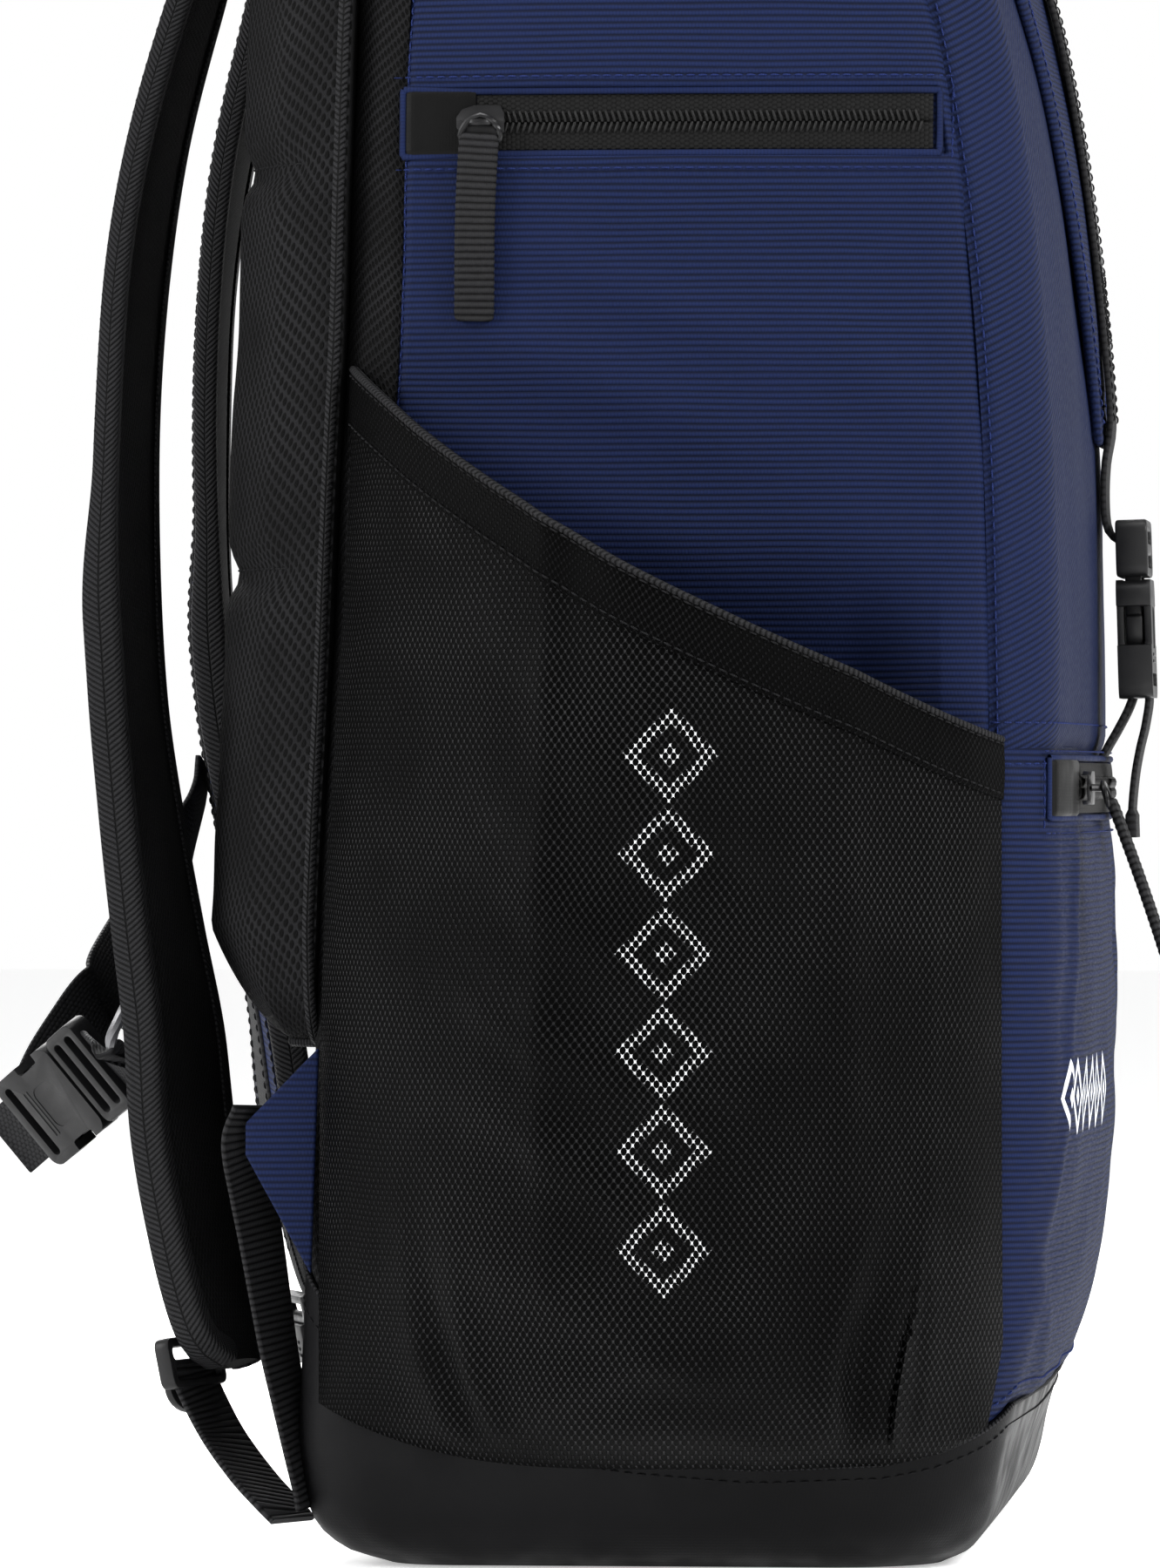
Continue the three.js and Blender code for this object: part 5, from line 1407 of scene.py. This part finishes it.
def side_zip(mirror, side):
    # tape, its slit line and the two coils
    ys = np.linspace(-56, 58.3, 90)
    us = np.linspace(-1, 1, 23)
    G = np.array([[0, 0, 0]] * (90 * 23), float).reshape(90, 23, 3)
    for j, u in enumerate(us):
        z = 362.5 + 6.9 * u
        lift = 1.15 + 0.55 * math.cos(u * math.pi / 2) ** 0.7 - 0.8 * math.exp(-(u / 0.05) ** 2)
        G[:, j] = on_side(ys, np.full_like(ys, z), lift)
    # the stretch sinks a little between its ends
    G[..., 0] += (0.35 * np.sin(np.pi * (ys + 56) / 114.3))[:, None]
    o = sheet_piece(f"zip_tape_{side}", G, 0.9, LEFT, "tape", mirror=mirror, sharp=60)
    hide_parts(f"side_zip_tape_{side}")
    yc = np.linspace(56.5, -54, 60)
    path = on_side(yc, np.full_like(yc, 362.5), 1.45) + [0, 0, 0]
    path[:, 0] += 0.35 * np.sin(np.pi * (yc + 56) / 114.3)
    up = np.repeat([[0, 0, 1.0]], 60, 0); nor = np.repeat([[-1.0, 0, 0]], 60, 0)
    c = hard(f"zip_coil_{side}", [coil_rows(path, up, nor)], "coil", mirror=mirror, sharp=80)
    # rubber patch at the slider end
    pz = np.linspace(-8.6, 8.6, 19)
    py = np.linspace(58.5, 76.5, 19)
    P = np.array([on_side(np.full_like(pz, y), 362.5 + pz, 2.0 - 0.25 * np.exp(-((y - 58.5) / 1.2) ** 2) - 0.9 * np.exp(-((8.7 - np.abs(pz)) / 0.7) ** 2) - 0.9 * math.exp(-((76.6 - y) / 0.7) ** 2)) for y in py])
    p = sheet_piece(f"zip_patch_{side}", P, 1.1, LEFT, "patch", mirror=mirror, sharp=60)
    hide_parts(f"side_zip_patch_{side}")
    # turned cloth edge round the window
    w = []
    for y in np.linspace(76.8, -57.4, 70): w.append((y, 362.5 + 7.9 + 0.5 * smooth(60, 76, y)))
    for z in np.linspace(369.6, 355.4, 9): w.append((-57.6, z))
    for y in np.linspace(-57.4, 76.8, 70): w.append((y, 362.5 - 7.9 - 0.5 * smooth(60, 76, y)))
    for z in np.linspace(354.6, 370.4, 9): w.append((77.0, z))
    w = np.array(w)
    R = on_side(w[:, 0], w[:, 1], 1.15)
    R = np.concatenate([R, R[:1]])
    n = len(R)
    lip = sweep(f"zip_welt_{side}", R, np.repeat([[-1.0, 0, 0]], n, 0), [[0.62 * math.cos(a), 0.95 * math.sin(a)] for a in np.linspace(0, 2 * math.pi, 11)[:-1]], "navy", mirror=mirror, caps=False, sharp=80, swap=True)
    # stitching outside it
    ln = []
    yl = np.linspace(80, -61, 64)
    for dz in (11.6, -11.6):
        ln.append(on_panel(side, yl, np.full_like(yl, 362.5 + dz)))
    zl = np.linspace(353, 372, 12)
    ln.append(on_panel(side, np.full_like(zl, -60.6), zl))
    P0, N0, lines = SIDE[side]
    ln += [(q, m) for q, m in lines]
    if mirror: ln = flip(ln)
    st = stitches(f"side_stitch_{side}", ln, pitch=3.0)
    # slider
    x0 = SX - 1.2
    body_ = cut(prism([[-6, -2.2], [-5, -4.2], [1.5, -4.25], [4.6, -3.2], [6, -1.2], [6, 1.2], [4.6, 3.2], [1.5, 4.25], [-5, 4.2], [-6, 2.2]], 2.4, (0, 0, 1.2)), [rbox((14, 0.9, 0.7), 0, (-1, 0, 2.4)), rbox((15, 6.3, 2.6), 0, (0, 0, 0.25))], 0.3)
    arch = tube(spline([[-3.6, 0, 2.2], [-2.6, 0, 3.6], [-0.5, 0, 4.5], [2.0, 0, 4.2], [3.4, 0, 2.2]], 14), 0.95, 8)
    X, Y, Z = (0, 1, 0), (0, 0, 1), (-1, 0, 0)
    mtx = basis((0, 1, 0), (0, 0, 1), (-1, 0, 0), (x0, 57.2, 362.5))
    s = hard(f"zip_slider_{side}", [body_, arch], "zinc", f"side_slider_{side}", mtx, mirror)
    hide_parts(f"side_zip_slider_{side}")
    # wire link and the folded tape on it
    px = SX - 6.2
    loop = spline([[0, 0, 1.6], [-2.6, 0.2, 0.6], [-4.6, 0.2, -2.0], [-4.7, 0, -4.4], [0, 0, -5.2], [4.7, 0, -4.4], [4.6, 0.2, -2.0], [2.6, 0.2, 0.6], [0, 0, 1.6]], 36)[:-1]
    link = tube(np.stack([px + 0.6 + 0.0 * loop[:, 0], 57 + loop[:, 0], 362.5 + loop[:, 2]], 1), 0.75, 8, closed=True)
    l = hard(f"zip_link_{side}", [link], "zinc", f"side_pull_{side}", None, mirror)
    t = pull_tab(f"zip_pull_{side}", (px + 0.5, 57.2, 359.6), (0.0, 0.035, -1), (-1, 0, 0), 10.2, 47, f"side_pull_{side}", mirror)
    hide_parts(f"side_zip_pull_{side}")


for _m, _s in ((False, "left"), (True, "right")):
    side_zip(_m, _s)


def front_line(qa, qb, n, z, off):
    """Across the front from q on the left to mirrored q on the right, at height z."""
    ql = np.linspace(qa, 5, n // 2)
    qr = np.linspace(5, qb, n - n // 2 + 1)[1:]
    L = body(ql, z, off, rec=False)
    R = body(qr, z, off, rec=False) * [-1, 1, 1]
    return np.concatenate([L, R])


def front_zip():
    FZ = 196.0
    us = np.linspace(-1, 1, 19)
    G = np.stack([front_line(4.2, 4.12, 120, FZ + 6.4 * u, 1.65 + 0.5 * math.cos(u * math.pi / 2) ** 0.7 - 0.7 * math.exp(-(u / 0.06) ** 2)) for u in us], 1)
    o = sheet_piece("front_zip_cloth", G, 0.8, FRONT, "tape", sharp=60)
    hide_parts("front_zip_tape")
    C = front_line(4.21, 4.13, 120, FZ, 2.0)
    nr = C * [1, 1, 0] - [0, 1673, 0]
    nr = nr / np.linalg.norm(nr, axis=1, keepdims=True)
    c = hard("front_zip_coil", [coil_rows(C, np.repeat([[0, 0, 1.0]], len(C), 0), nr)], "coil", sharp=80)
    qs = np.linspace(3.73, 4.195, 24)
    vs = np.linspace(-7.4, 7.4, 19)
    P = np.array([body(q, FZ + vs, 2.6 - 0.8 * np.exp(-((7.5 - np.abs(vs)) / 0.7) ** 2) - 0.8 * math.exp(-((q - 3.725) / 0.016) ** 2), rec=False) for q in qs])
    p = sheet_piece("front_patch", P, 1.1, P * [1, 1, 0] - [0, 14, 0], "patch", sharp=60)
    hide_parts("front_zip_patch")
    top = front_line(3.71, 4.1, 150, FZ + 7.6, 1.5)
    bot = front_line(3.71, 4.1, 150, FZ - 7.6, 1.5)
    R = np.concatenate([top, [top[-1] * 0.5 + bot[-1] * 0.5], bot[::-1], [top[0] * 0.5 + bot[0] * 0.5], top[:1]])
    nn = R * [1, 1, 0] - [0, 14, 0]
    w = sweep("front_zip_welt", R, nn, [[0.7 * math.cos(a), 0.85 * math.sin(a)] for a in np.linspace(0, 2 * math.pi, 11)[:-1]], "navy", caps=False, sharp=80, swap=True)
    ln = []
    for dz in (-11.3, 9.3):
        s = front_line(3.66, 4.06, 140, FZ + dz, 1.9 if dz < 0 else 1.4)
        ln.append((s, s * [1, 1, 0] - [0, 14, 0]))
    e = body(3.645, FZ + np.linspace(-10.6, 8.8, 9), 1.9, rec=False)
    ln.append((e, e * [1, 1, 0] - [0, 14, 0]))
    st = stitches("front_zip_stitch", ln, pitch=3.0)
    phi = math.asin(-100 / 1765.64)
    R3 = Matrix.Rotation(phi, 4, "Z")
    base = Matrix.Translation((-100, -91.143, FZ)) @ R3
    A = base @ basis((-1, 0, 0), (0, 0, 1), (0, -1, 0), (0, 0, 0))
    body_ = cut(prism([[-6, -2.2], [-5, -4.2], [1.5, -4.25], [4.6, -3.2], [6, -1.2], [6, 1.2], [4.6, 3.2], [1.5, 4.25], [-5, 4.2], [-6, 2.2]], 2.3, (0, 0, 1.25)), [rbox((14, 0.9, 0.7), 0, (-1, 0, 2.4)), rbox((15, 6.3, 2.6), 0, (0, 0, 0.25))], 0.3)
    arch = tube(spline([[-3.6, 0, 2.2], [-2.6, 0, 3.6], [-0.5, 0, 4.5], [2.0, 0, 4.2], [3.4, 0, 2.2]], 14), 0.95, 8)
    s = hard("front_slider_body", [body_, arch], "zinc", "front_slider", A)
    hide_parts("front_zip_slider")
    B = base @ Matrix.Translation((0, -6.2, 0)) @ Matrix.Rotation(-0.33, 4, "X")
    loop = spline([[0, 0, 1.6], [-2.6, 0.2, 0.6], [-4.6, 0.2, -2.0], [-4.7, 0, -4.4], [0, 0, -5.2], [4.7, 0, -4.4], [4.6, 0.2, -2.0], [2.6, 0.2, 0.6], [0, 0, 1.6]], 36)[:-1]
    link = tube(np.stack([loop[:, 0], 0.7 + 0 * loop[:, 0], loop[:, 2]], 1), 0.75, 8, closed=True)
    l = hard("front_pull_link", [link], "zinc", "front_pull", B)
    o3 = np.array(B)[:3, 3]; dn = np.array(B)[:3, :3] @ np.array([0, 0, -1.0]); fc = np.array(B)[:3, :3] @ np.array([0, -1.0, 0])
    t = pull_tab("front_pull_tape", o3 + dn * 3.0, dn, fc, 10.2, 50.0, "front_pull")
    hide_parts("front_zip_pull")


front_zip()


# ------------------------------------------------------------------ buckles
def socket_parts():
    shell = prism(round_rect(33, 31, 4.2, 0, -15.5, 6), 9)
    cuts = [rbox((27.6, 23.4, 5.6), 0.8, (0, -10.3, 0)), rbox((8, 10.5, 12), 1.2, (17.2, -12, 0)), rbox((8, 10.5, 12), 1.2, (-17.2, -12, 0)), prism(round_rect(26.4, 3.4, 1.5, 0, -26.2), 14)]
    # a shallow thumb recess on each face
    cuts += [prism(round_rect(15, 11, 3, 0, -12.5), 0.8, (0, 0, 4.6)), prism(round_rect(15, 11, 3, 0, -12.5), 0.8, (0, 0, -4.6))]
    parts = [cut(shell, cuts, 0.75)]
    for y in (-19.6, -21.4):
        for z in (4.45, -4.45):
            parts.append(rbox((17, 0.9, 0.7), 0.3, (0, y, z)))
    return parts


def plug_parts():
    bar = prism(round_rect(33, 15, 3.2, 0, 8.2, 6), 8.4)
    bar = cut(bar, [prism(round_rect(26.4, 3.2, 1.4, 0, 4.9), 12), prism(round_rect(26.4, 3.2, 1.4, 0, 11.2), 12)], 0.7)
    parts = [bar]
    for s in (-1, 1):
        arm = [[s * 8.6, 1.6], [s * 12.6, 1.6], [s * 12.7, -4], [s * 12.6, -9.2], [s * 13.6, -9.6], [s * 13.5, -14.2], [s * 11.6, -18.6], [s * 9.6, -19.3], [s * 8.5, -17], [s * 8.6, -8]]
        parts.append(cut(prism(arm, 4.2), [], 0.45))
    parts.append(cut(prism(round_rect(4.0, 19.5, 1.2, 0, -8.0), 3.0), [], 0.4))
    return parts


def front_buckle():
    m = Matrix.Translation((0, -100.4, 250.5)) @ Matrix.Rotation(math.pi / 2 - 0.03, 4, "X")
    s = hard("buckle_socket", socket_parts(), "pom", "bag", m)
    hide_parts("front_buckle_socket")
    p = hard("buckle_plug", plug_parts(), "pom", "front_plug", m)
    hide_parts("front_buckle_plug")
    # strap of the lid, sewn to the tongue and threaded through the plug
    fy = lambda z: float(frontY(z) - 5 * (1 - smooth(400, 470, z)) - 1.3 - 2.6 - 1.6)
    pts = [[0, fy(z), z] for z in (452, 430, 405, 375, 345, 315, 292)] + [[0, -92.9, 281], [0, -92.6, 271], [0, -93.4, 264], [0, -96.0, 260.8], [0, -99.2, 259.5]]
    o = strap_piece("lid_webbing", pts, (1, 0, 0), 25, 1.6, "web", "lid", n=90)
    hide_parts("lid_strap")
    C = spline(pts[:7], 60)
    st = stitches("lid_webbing_stitch", [(C + [sx, -0.95, 0], np.repeat([[0, -1.0, 0]], 60, 0)) for sx in (-10.6, 10.6)], "thread_black", "lid", 2.8)
    for zc in (448, 322):
        a, b = np.array([-9.5, fy(zc + 9) - 1.0, zc + 9]), np.array([9.5, fy(zc - 9) - 1.0, zc - 9])
        c, d = np.array([9.5, fy(zc + 9) - 1.0, zc + 9]), np.array([-9.5, fy(zc - 9) - 1.0, zc - 9])
        n4 = np.repeat([[0, -1.0, 0]], 8, 0)
        x = stitches(f"lid_box_stitch_{zc}", [(resample([p, q], 8), n4) for p, q in ((a, b), (c, d), (a, c), (d, b))], "thread_black", "lid", 2.6)
    # tape from the pocket seam to the socket, and the loose tail hanging over the pocket
    o = strap_piece("front_anchor", [[0, -91.5, 203], [0, -93.4, 206.6], [0, -96.2, 211.5], [0, -99.0, 217], [0, -100.6, 222], [0, -100.9, 226]], (1, 0, 0), 25, 1.6, "web", n=24)
    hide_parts("front_lower_webbing")
    o = strap_piece("front_tail", [[0, -102.0, 225.0], [0, -104.2, 220.5], [0, -103.4, 213], [0, -101.8, 206], [0, -100.6, 199], [0, -99.8, 190], [0, -99.9, 183]], (1, 0, 0), 25, 1.5, "web", n=60, scale=np.stack([np.ones(60), 1 + 0.9 * smooth(49, 51, np.arange(60))], 1))
    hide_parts("front_strap_tail")


front_buckle()


def sternum():
    yv = -unit([0.6709, 0.5870, -0.4529])
    up = np.array([0, 0.664, 0.747])
    xv = unit(up - yv * np.dot(up, yv))
    zv = np.cross(xv, yv)
    o3 = np.array([-68, 169.5, 120.5])
    m = basis(xv * 0.82, yv * 0.82, zv * 0.82, o3)
    s = hard("chest_socket", socket_parts(), "pom", "sternum_socket", m)
    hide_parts("sternum_buckle_socket")
    p = hard("chest_plug", plug_parts(), "pom", "bag", m)
    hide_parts("sternum_buckle_plug")
    at = lambda x, y, z=0: o3 + 0.82 * (xv * x + yv * y + zv * z)
    # left half: up the strap, over the glide, down to the plug
    pts = [[-97, 157.2, 205], [-97, 156.8, 196], [-96.5, 155.4, 180], [-95.5, 153.6, 164], [-94.5, 152.6, 152], [-93.3, 152.6, 144]]
    o = strap_piece("chest_web_left", pts, (1, -0.05, 0), 20, 1.6, "web", n=40)
    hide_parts("sternum_webbing_left")
    wq = np.array([0.96, -0.2, -0.25]); wq = unit(wq)
    uq = np.array([-0.22, -0.32, 0.93]); uq = unit(uq - wq * np.dot(uq, wq)); nq = np.cross(wq, uq)
    g = np.array([-89.5, 153.6, 133.6])
    ring = [tube([g + wq * a + uq * b for a, b in round_rect(22.5, 13.5, 4.5)], 1.55, 8, closed=True), tube([g + wq * a for a in np.linspace(-11, 11, 6)], 1.3, 8)]
    o = hard("chest_glide", ring, "glide", "bag")
    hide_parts("sternum_glide_left")
    a0 = g - uq * 6.6
    pts = [g - uq * 5.2 + nq * 1.9, a0 + nq * 1.6 - uq * 1.5, lerp(a0, at(0, 14), 0.45) - uq * 1.0, at(0, 15.5, -0.6), at(0, 12.4, 0)]
    wd = resample([wq, unit(wq * 0.6 + xv * 0.4 * np.sign(np.dot(wq, xv) or 1)), xv * np.sign(np.dot(wq, xv) or 1)], 30)
    o = strap_piece("chest_web_join", pts, wd, 19, 1.5, "web", n=30)
    # right half: from the other shoulder strap to the socket
    pts = [[92, 157.6, 203], [90, 158, 195], [82, 160.5, 184], [62, 163, 172], [30, 166.5, 158], [0, 171, 145], [-20, 176.5, 132], [-36, 181.5, 120.5], list(at(0, -29.5)), list(at(0, -25.8))]
    wd = resample([[1, 0, 0], [0.6, -0.1, -0.4], [0.3, -0.3, -0.75], [0.1, -0.55, -0.8], list(-xv if np.dot(xv, [0.1, -0.55, -0.8]) > 0 else xv)], 90)
    wd = np.where(np.sum(wd * wd[:1] * 0 + 1, 1, keepdims=True) > 0, wd, wd)
    e = wd[-1] if np.dot(wd[-1], wd[60]) > 0 else -wd[-1]
    wd[60:] = np.stack([lerp(wd[60], e, t) for t in np.linspace(0, 1, 30)])
    o = strap_piece("chest_web_right", pts, wd, 19.5, 1.5, "web", None, n=90)
    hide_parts("sternum_webbing_right")
    M([at(0, -31)])[0].tolist()
    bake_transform(o)
    # folded end of the strap past the socket
    pts = [at(0, -26.2, 0), at(0, -30, 1.8), at(0, -38, 2.6), at(0, -47, 3.0), at(0, -50, 2.2)]
    o = strap_piece("chest_web_tail", pts, xv, 19, 1.5, "web", "sternum_socket", n=30)


# ------------------------------------------------------------------ lower webbing, wings, loop, inner pieces
def lower(mirror, side):
    w = unit([0.951, -0.309, 0]); u = np.array([-0.05, 0.23, 0.97]); u = unit(u - w * np.dot(u, w)); nz = np.cross(w, u)
    if nz[1] < 0: pass
    at = np.array([-125, 134.2, 50.5])
    m = basis(w, u, np.cross(w, u), at)
    frame_ = cut(prism(round_rect(32, 13, 2.6), 4.2), [prism(round_rect(26.5, 3.2, 1.4, 0, 2.4), 8), prism(round_rect(26.5, 3.2, 1.4, 0, -2.9), 8)], 0.7)
    o = hard(f"ladder_frame_{side}", [frame_], "pom", f"adjuster_{side}", m, mirror)
    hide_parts(f"strap_adjuster_{side}")
    # the half-round lifting tongue
    out = [[-12, -1.5], [-12, -6.5]] + [[-12 * math.cos(a), -6.5 - 6.2 * math.sin(a)] for a in np.linspace(0.12, math.pi - 0.12, 12)] + [[12, -6.5], [12, -1.5]]
    tongue = cut(prism(out, 2.0, (0, 0, -2.2)), [], 0.6)
    ridges = [rbox((14, 0.9, 0.7), 0.3, (0, y, -3.3)) for y in (-6.5, -8.4, -10.2)]
    o2 = hard(f"ladder_tongue_{side}", [tongue] + ridges, "pom", f"adjuster_{side}", m, mirror)
    # points for the sewn loop of tape that holds the frame to the strap's tip; no loop is built from them
    tip = np.array([-124.6, 124.2, 53.0])
    pts = [[-124.4, 128.3, 66], [-124.7, 131.4, 60], [-125.0, 133.4, 54.5], at + u * 2.2, [-125.0, 130.5, 54.4], [-124.6, 126.5, 60]]
    # ribbed lower tape down to the base seam, with its hanging end
    pts = [list(at + u * 0.4 - w * 0 + nz * 0.3), list(at - u * 3.2), [-125.5, 129.5, 38.5], [-127, 125, 31], [-132, 117.5, 22], [-138, 109.2, 14], [-139.2, 106.4, 11.4]]
    o3 = strap_piece(f"lower_tape_{side}", pts, (0.95, -0.31, 0), 25, 1.6, "web_rib", mirror=mirror, n=60)
    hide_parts(f"lower_webbing_{side}")
    # wing: triangle of navy cloth and the tape along it
    tri = [[98, 131], [116.5, 112], [116.5, 104], [100, 74]]
    V, F = prism([[y, z] for y, z in tri], 2.4)
    V = np.stack([-156.0 + V[:, 2], V[:, 0], V[:, 1]], 1)
    V, F = cut((V, [f[::-1] for f in F] if False else F), [], 0.7)
    uv = V[:, 1:3]
    o4 = mk(f"wing_cloth_{side}", V * ([-1, 1, 1] if mirror else [1, 1, 1]), [f[::-1] for f in F] if mirror else F, uv, "navy", "bag", 50)
    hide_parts(f"wing_tab_{side}")
    o5 = strap_piece(f"wing_tape_{side}", [[-151, 114.2, 116], [-149, 117.2, 108], [-146, 115.8, 94], [-145, 113.4, 79], [-144.5, 111.4, 66], [-144.3, 109.6, 55], [-143.6, 107.0, 42], [-142.4, 104.4, 29], [-141.4, 102.6, 20], [-141.0, 102.0, 15]], resample([[0.8, -0.6, 0.05], [0.85, -0.53, 0], [0.93, -0.36, 0], [0.97, -0.25, 0]], 60), 18, 1.5, "web_rib", mirror=mirror, n=60)
    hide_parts(f"wing_webbing_{side}")


def trims():
    pts = [[-27, 98.5, 465], [-28, 104, 461], [-26, 112, 456], [-16, 118.5, 452], [0, 121, 450.5], [16, 118.5, 452], [26, 112, 456], [28, 104, 461], [27, 98.5, 465]]
    o = strap_piece("haul_tape", pts, (0, 0.5, 0.86), 14, 2.8, "web", "haul_handle", n=90)
    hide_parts("haul_loop")
    x = np.linspace(-96, 96, 90)
    C = np.stack([x, 92 + 0 * x, 463.5 + 0 * x], 1)
    o = sweep("yoke_tape", C, np.repeat([[0, 0.0, 1.0]], 90, 0), flat_profile(20, 3.0), "web")
    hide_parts("harness_yoke")
    # rim binding, following the outline
    qs = np.concatenate([np.linspace(0, 1, 14)[:-1], np.linspace(1, 2, 16)[:-1], np.linspace(2, 3, 24)[:-1], np.linspace(3, 4, 16)[:-1], np.linspace(4, 5, 16)])
    z = rimAt(qs) + 0.7
    L = body(qs, z, -1.4, rec=False)
    R = np.concatenate([L, (L[1:-1] * [-1, 1, 1])[::-1], L[:1]])
    nn = R * [1, 1, 0] - [0, 20, 0]
    o = sweep("rim_tape", R, nn, [[1.7 * math.cos(a), 3.7 * math.sin(a)] for a in np.linspace(0, 2 * math.pi, 13)[:-1]], "bind", caps=False, sharp=80)
    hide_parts("rim_binding")
    # inside: stiffeners, laptop sleeve, pocket divider
    o = hard("base_stiffener", [cut(prism(round_rect(268, 132, 14, 0, 13), 2.4, (0, 0, 5.2)), [], 0.5)], "board")
    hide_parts("base_board")
    V, F = cut(prism(round_rect(226, 356, 14, 0, 270), 1.5), [prism(round_rect(90, 9, 4, 0, 420), 6), prism(round_rect(90, 9, 4, 0, 396), 6)], 0.4)
    V = np.stack([V[:, 0], 82.6 + V[:, 2], V[:, 1]], 1)
    o = mk("back_stiffener", V, [f[::-1] for f in F], V[:, [0, 2]], "board", "bag", 40)
    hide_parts("frame_sheet")
    X, Z = np.meshgrid(np.linspace(-134, 134, 50), np.linspace(39.5, 206.5, 40), indexing="ij")
    P = np.stack([X, -67 + 0 * X, Z], -1)
    P = displace(P, wrinkle(P, 55, 0.5, 61.0), FRONT)
    o = sheet_piece("pocket_divider", P, 1.6, FRONT, "lining")
    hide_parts("front_inner_panel")
    sleeve = cut(rbox((272, 20, 292), 1.2, (0, 71, 158)), [rbox((267, 15.6, 300), 0.5, (0, 71, 164.6))], 0.5)
    V = np.asarray(sleeve[0])
    o = mk("sleeve_cloth", V, sleeve[1], V[:, [0, 2]], "lining", "bag", 40)
    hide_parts("laptop_sleeve")
    xs = np.linspace(-133, 133, 60)
    st = stitches("sleeve_stitch", [(np.stack([xs, 60.9 + 0 * xs, z0 + 0 * xs], 1), np.repeat([[0, -1.0, 0]], 60, 0)) for z0 in (299.5, 294.5)], "thread_black", "bag", 3.2)


MAT["glide"] = moulded("glide_bar", (84, 84, 86), 0.32, 0.03, 0.4)
sternum()
for _m, _s in ((False, "left"), (True, "right")):
    lower(_m, _s)
trims()


# ------------------------------------------------------------------ room
def room():
    sc = bpy.context.scene
    sc.view_settings.view_transform = "Standard"
    w = sc.world or bpy.data.worlds.new("room")
    sc.world = w
    w.use_nodes = True
    bg = next(n for n in w.node_tree.nodes if n.type == "BACKGROUND")
    nt = w.node_tree
    tc = nt.nodes.new("ShaderNodeTexCoord")
    sp = nt.nodes.new("ShaderNodeSeparateXYZ")
    rg = nt.nodes.new("ShaderNodeMapRange")
    rg.interpolation_type = "SMOOTHSTEP"
    for i, v in ((1, 0.16), (2, 0.55), (3, 1.0), (4, 0.45)):
        rg.inputs[i].default_value = v
    nt.links.new(tc.outputs["Generated"], sp.inputs[0])
    nt.links.new(sp.outputs[2], rg.inputs[0])
    nt.links.new(rg.outputs[0], bg.inputs[1])
    bg.inputs[0].default_value = (1.0, 1.0, 1.0, 1.0)
    me = bpy.data.meshes.new("floor")
    me.from_pydata([(-9, -9, 0), (9, -9, 0), (9, 9, 0), (-9, 9, 0)], [], [(0, 1, 2, 3)])
    m = bpy.data.materials.new("floor")
    m.use_nodes = True
    b = next(n for n in m.node_tree.nodes if n.type == "BSDF_PRINCIPLED")
    b.inputs["Base Color"].default_value = (0.97, 0.97, 0.97, 1)
    b.inputs["Roughness"].default_value = 0.8
    b.inputs["Emission Color"].default_value = (1, 1, 1, 1)
    b.inputs["Emission Strength"].default_value = 0.42
    me.materials.append(m)
    fl = bpy.data.objects.new("floor", me)
    sc.collection.objects.link(fl)

    def area(name, loc, target, size, power):
        l = bpy.data.lights.new(name, "AREA")
        l.shape = "RECTANGLE"
        l.size, l.size_y = size
        l.energy = power
        o = bpy.data.objects.new(name, l)
        o.location = loc
        d = Vector(target) - Vector(loc)
        o.rotation_euler = d.to_track_quat("-Z", "Y").to_euler()
        sc.collection.objects.link(o)
    area("key", (-0.95, -1.6, 1.3), (0, 0, 0.25), (0.9, 0.9), 50)
    area("fill", (-0.8, 1.7, 1.1), (0, 0, 0.22), (0.9, 1.0), 44)
    area("far", (1.5, 0.5, 1.2), (0, 0, 0.25), (1.0, 1.0), 28)
    area("top", (-0.3, 0.0, 1.9), (0, 0, 0.3), (1.2, 0.8), 22)

    cam = bpy.data.cameras.new("camera")
    cam.sensor_fit = "VERTICAL"
    cam.sensor_height = 36
    cam.lens = 13050 / 1800 * 36
    cam.clip_end = 50
    o = bpy.data.objects.new("camera", cam)
    back = Vector((-0.99619, -0.08716, 0))
    loc = Vector((0, 0.0069, 0.197)) + back * 3.0
    right = Vector((0.08716, -0.99619, 0))
    o.matrix_world = Matrix(((right.x, 0, back.x, loc.x), (right.y, 0, back.y, loc.y), (right.z, 1, back.z, loc.z), (0, 0, 0, 1)))
    sc.collection.objects.link(o)
    sc.camera = o


room()
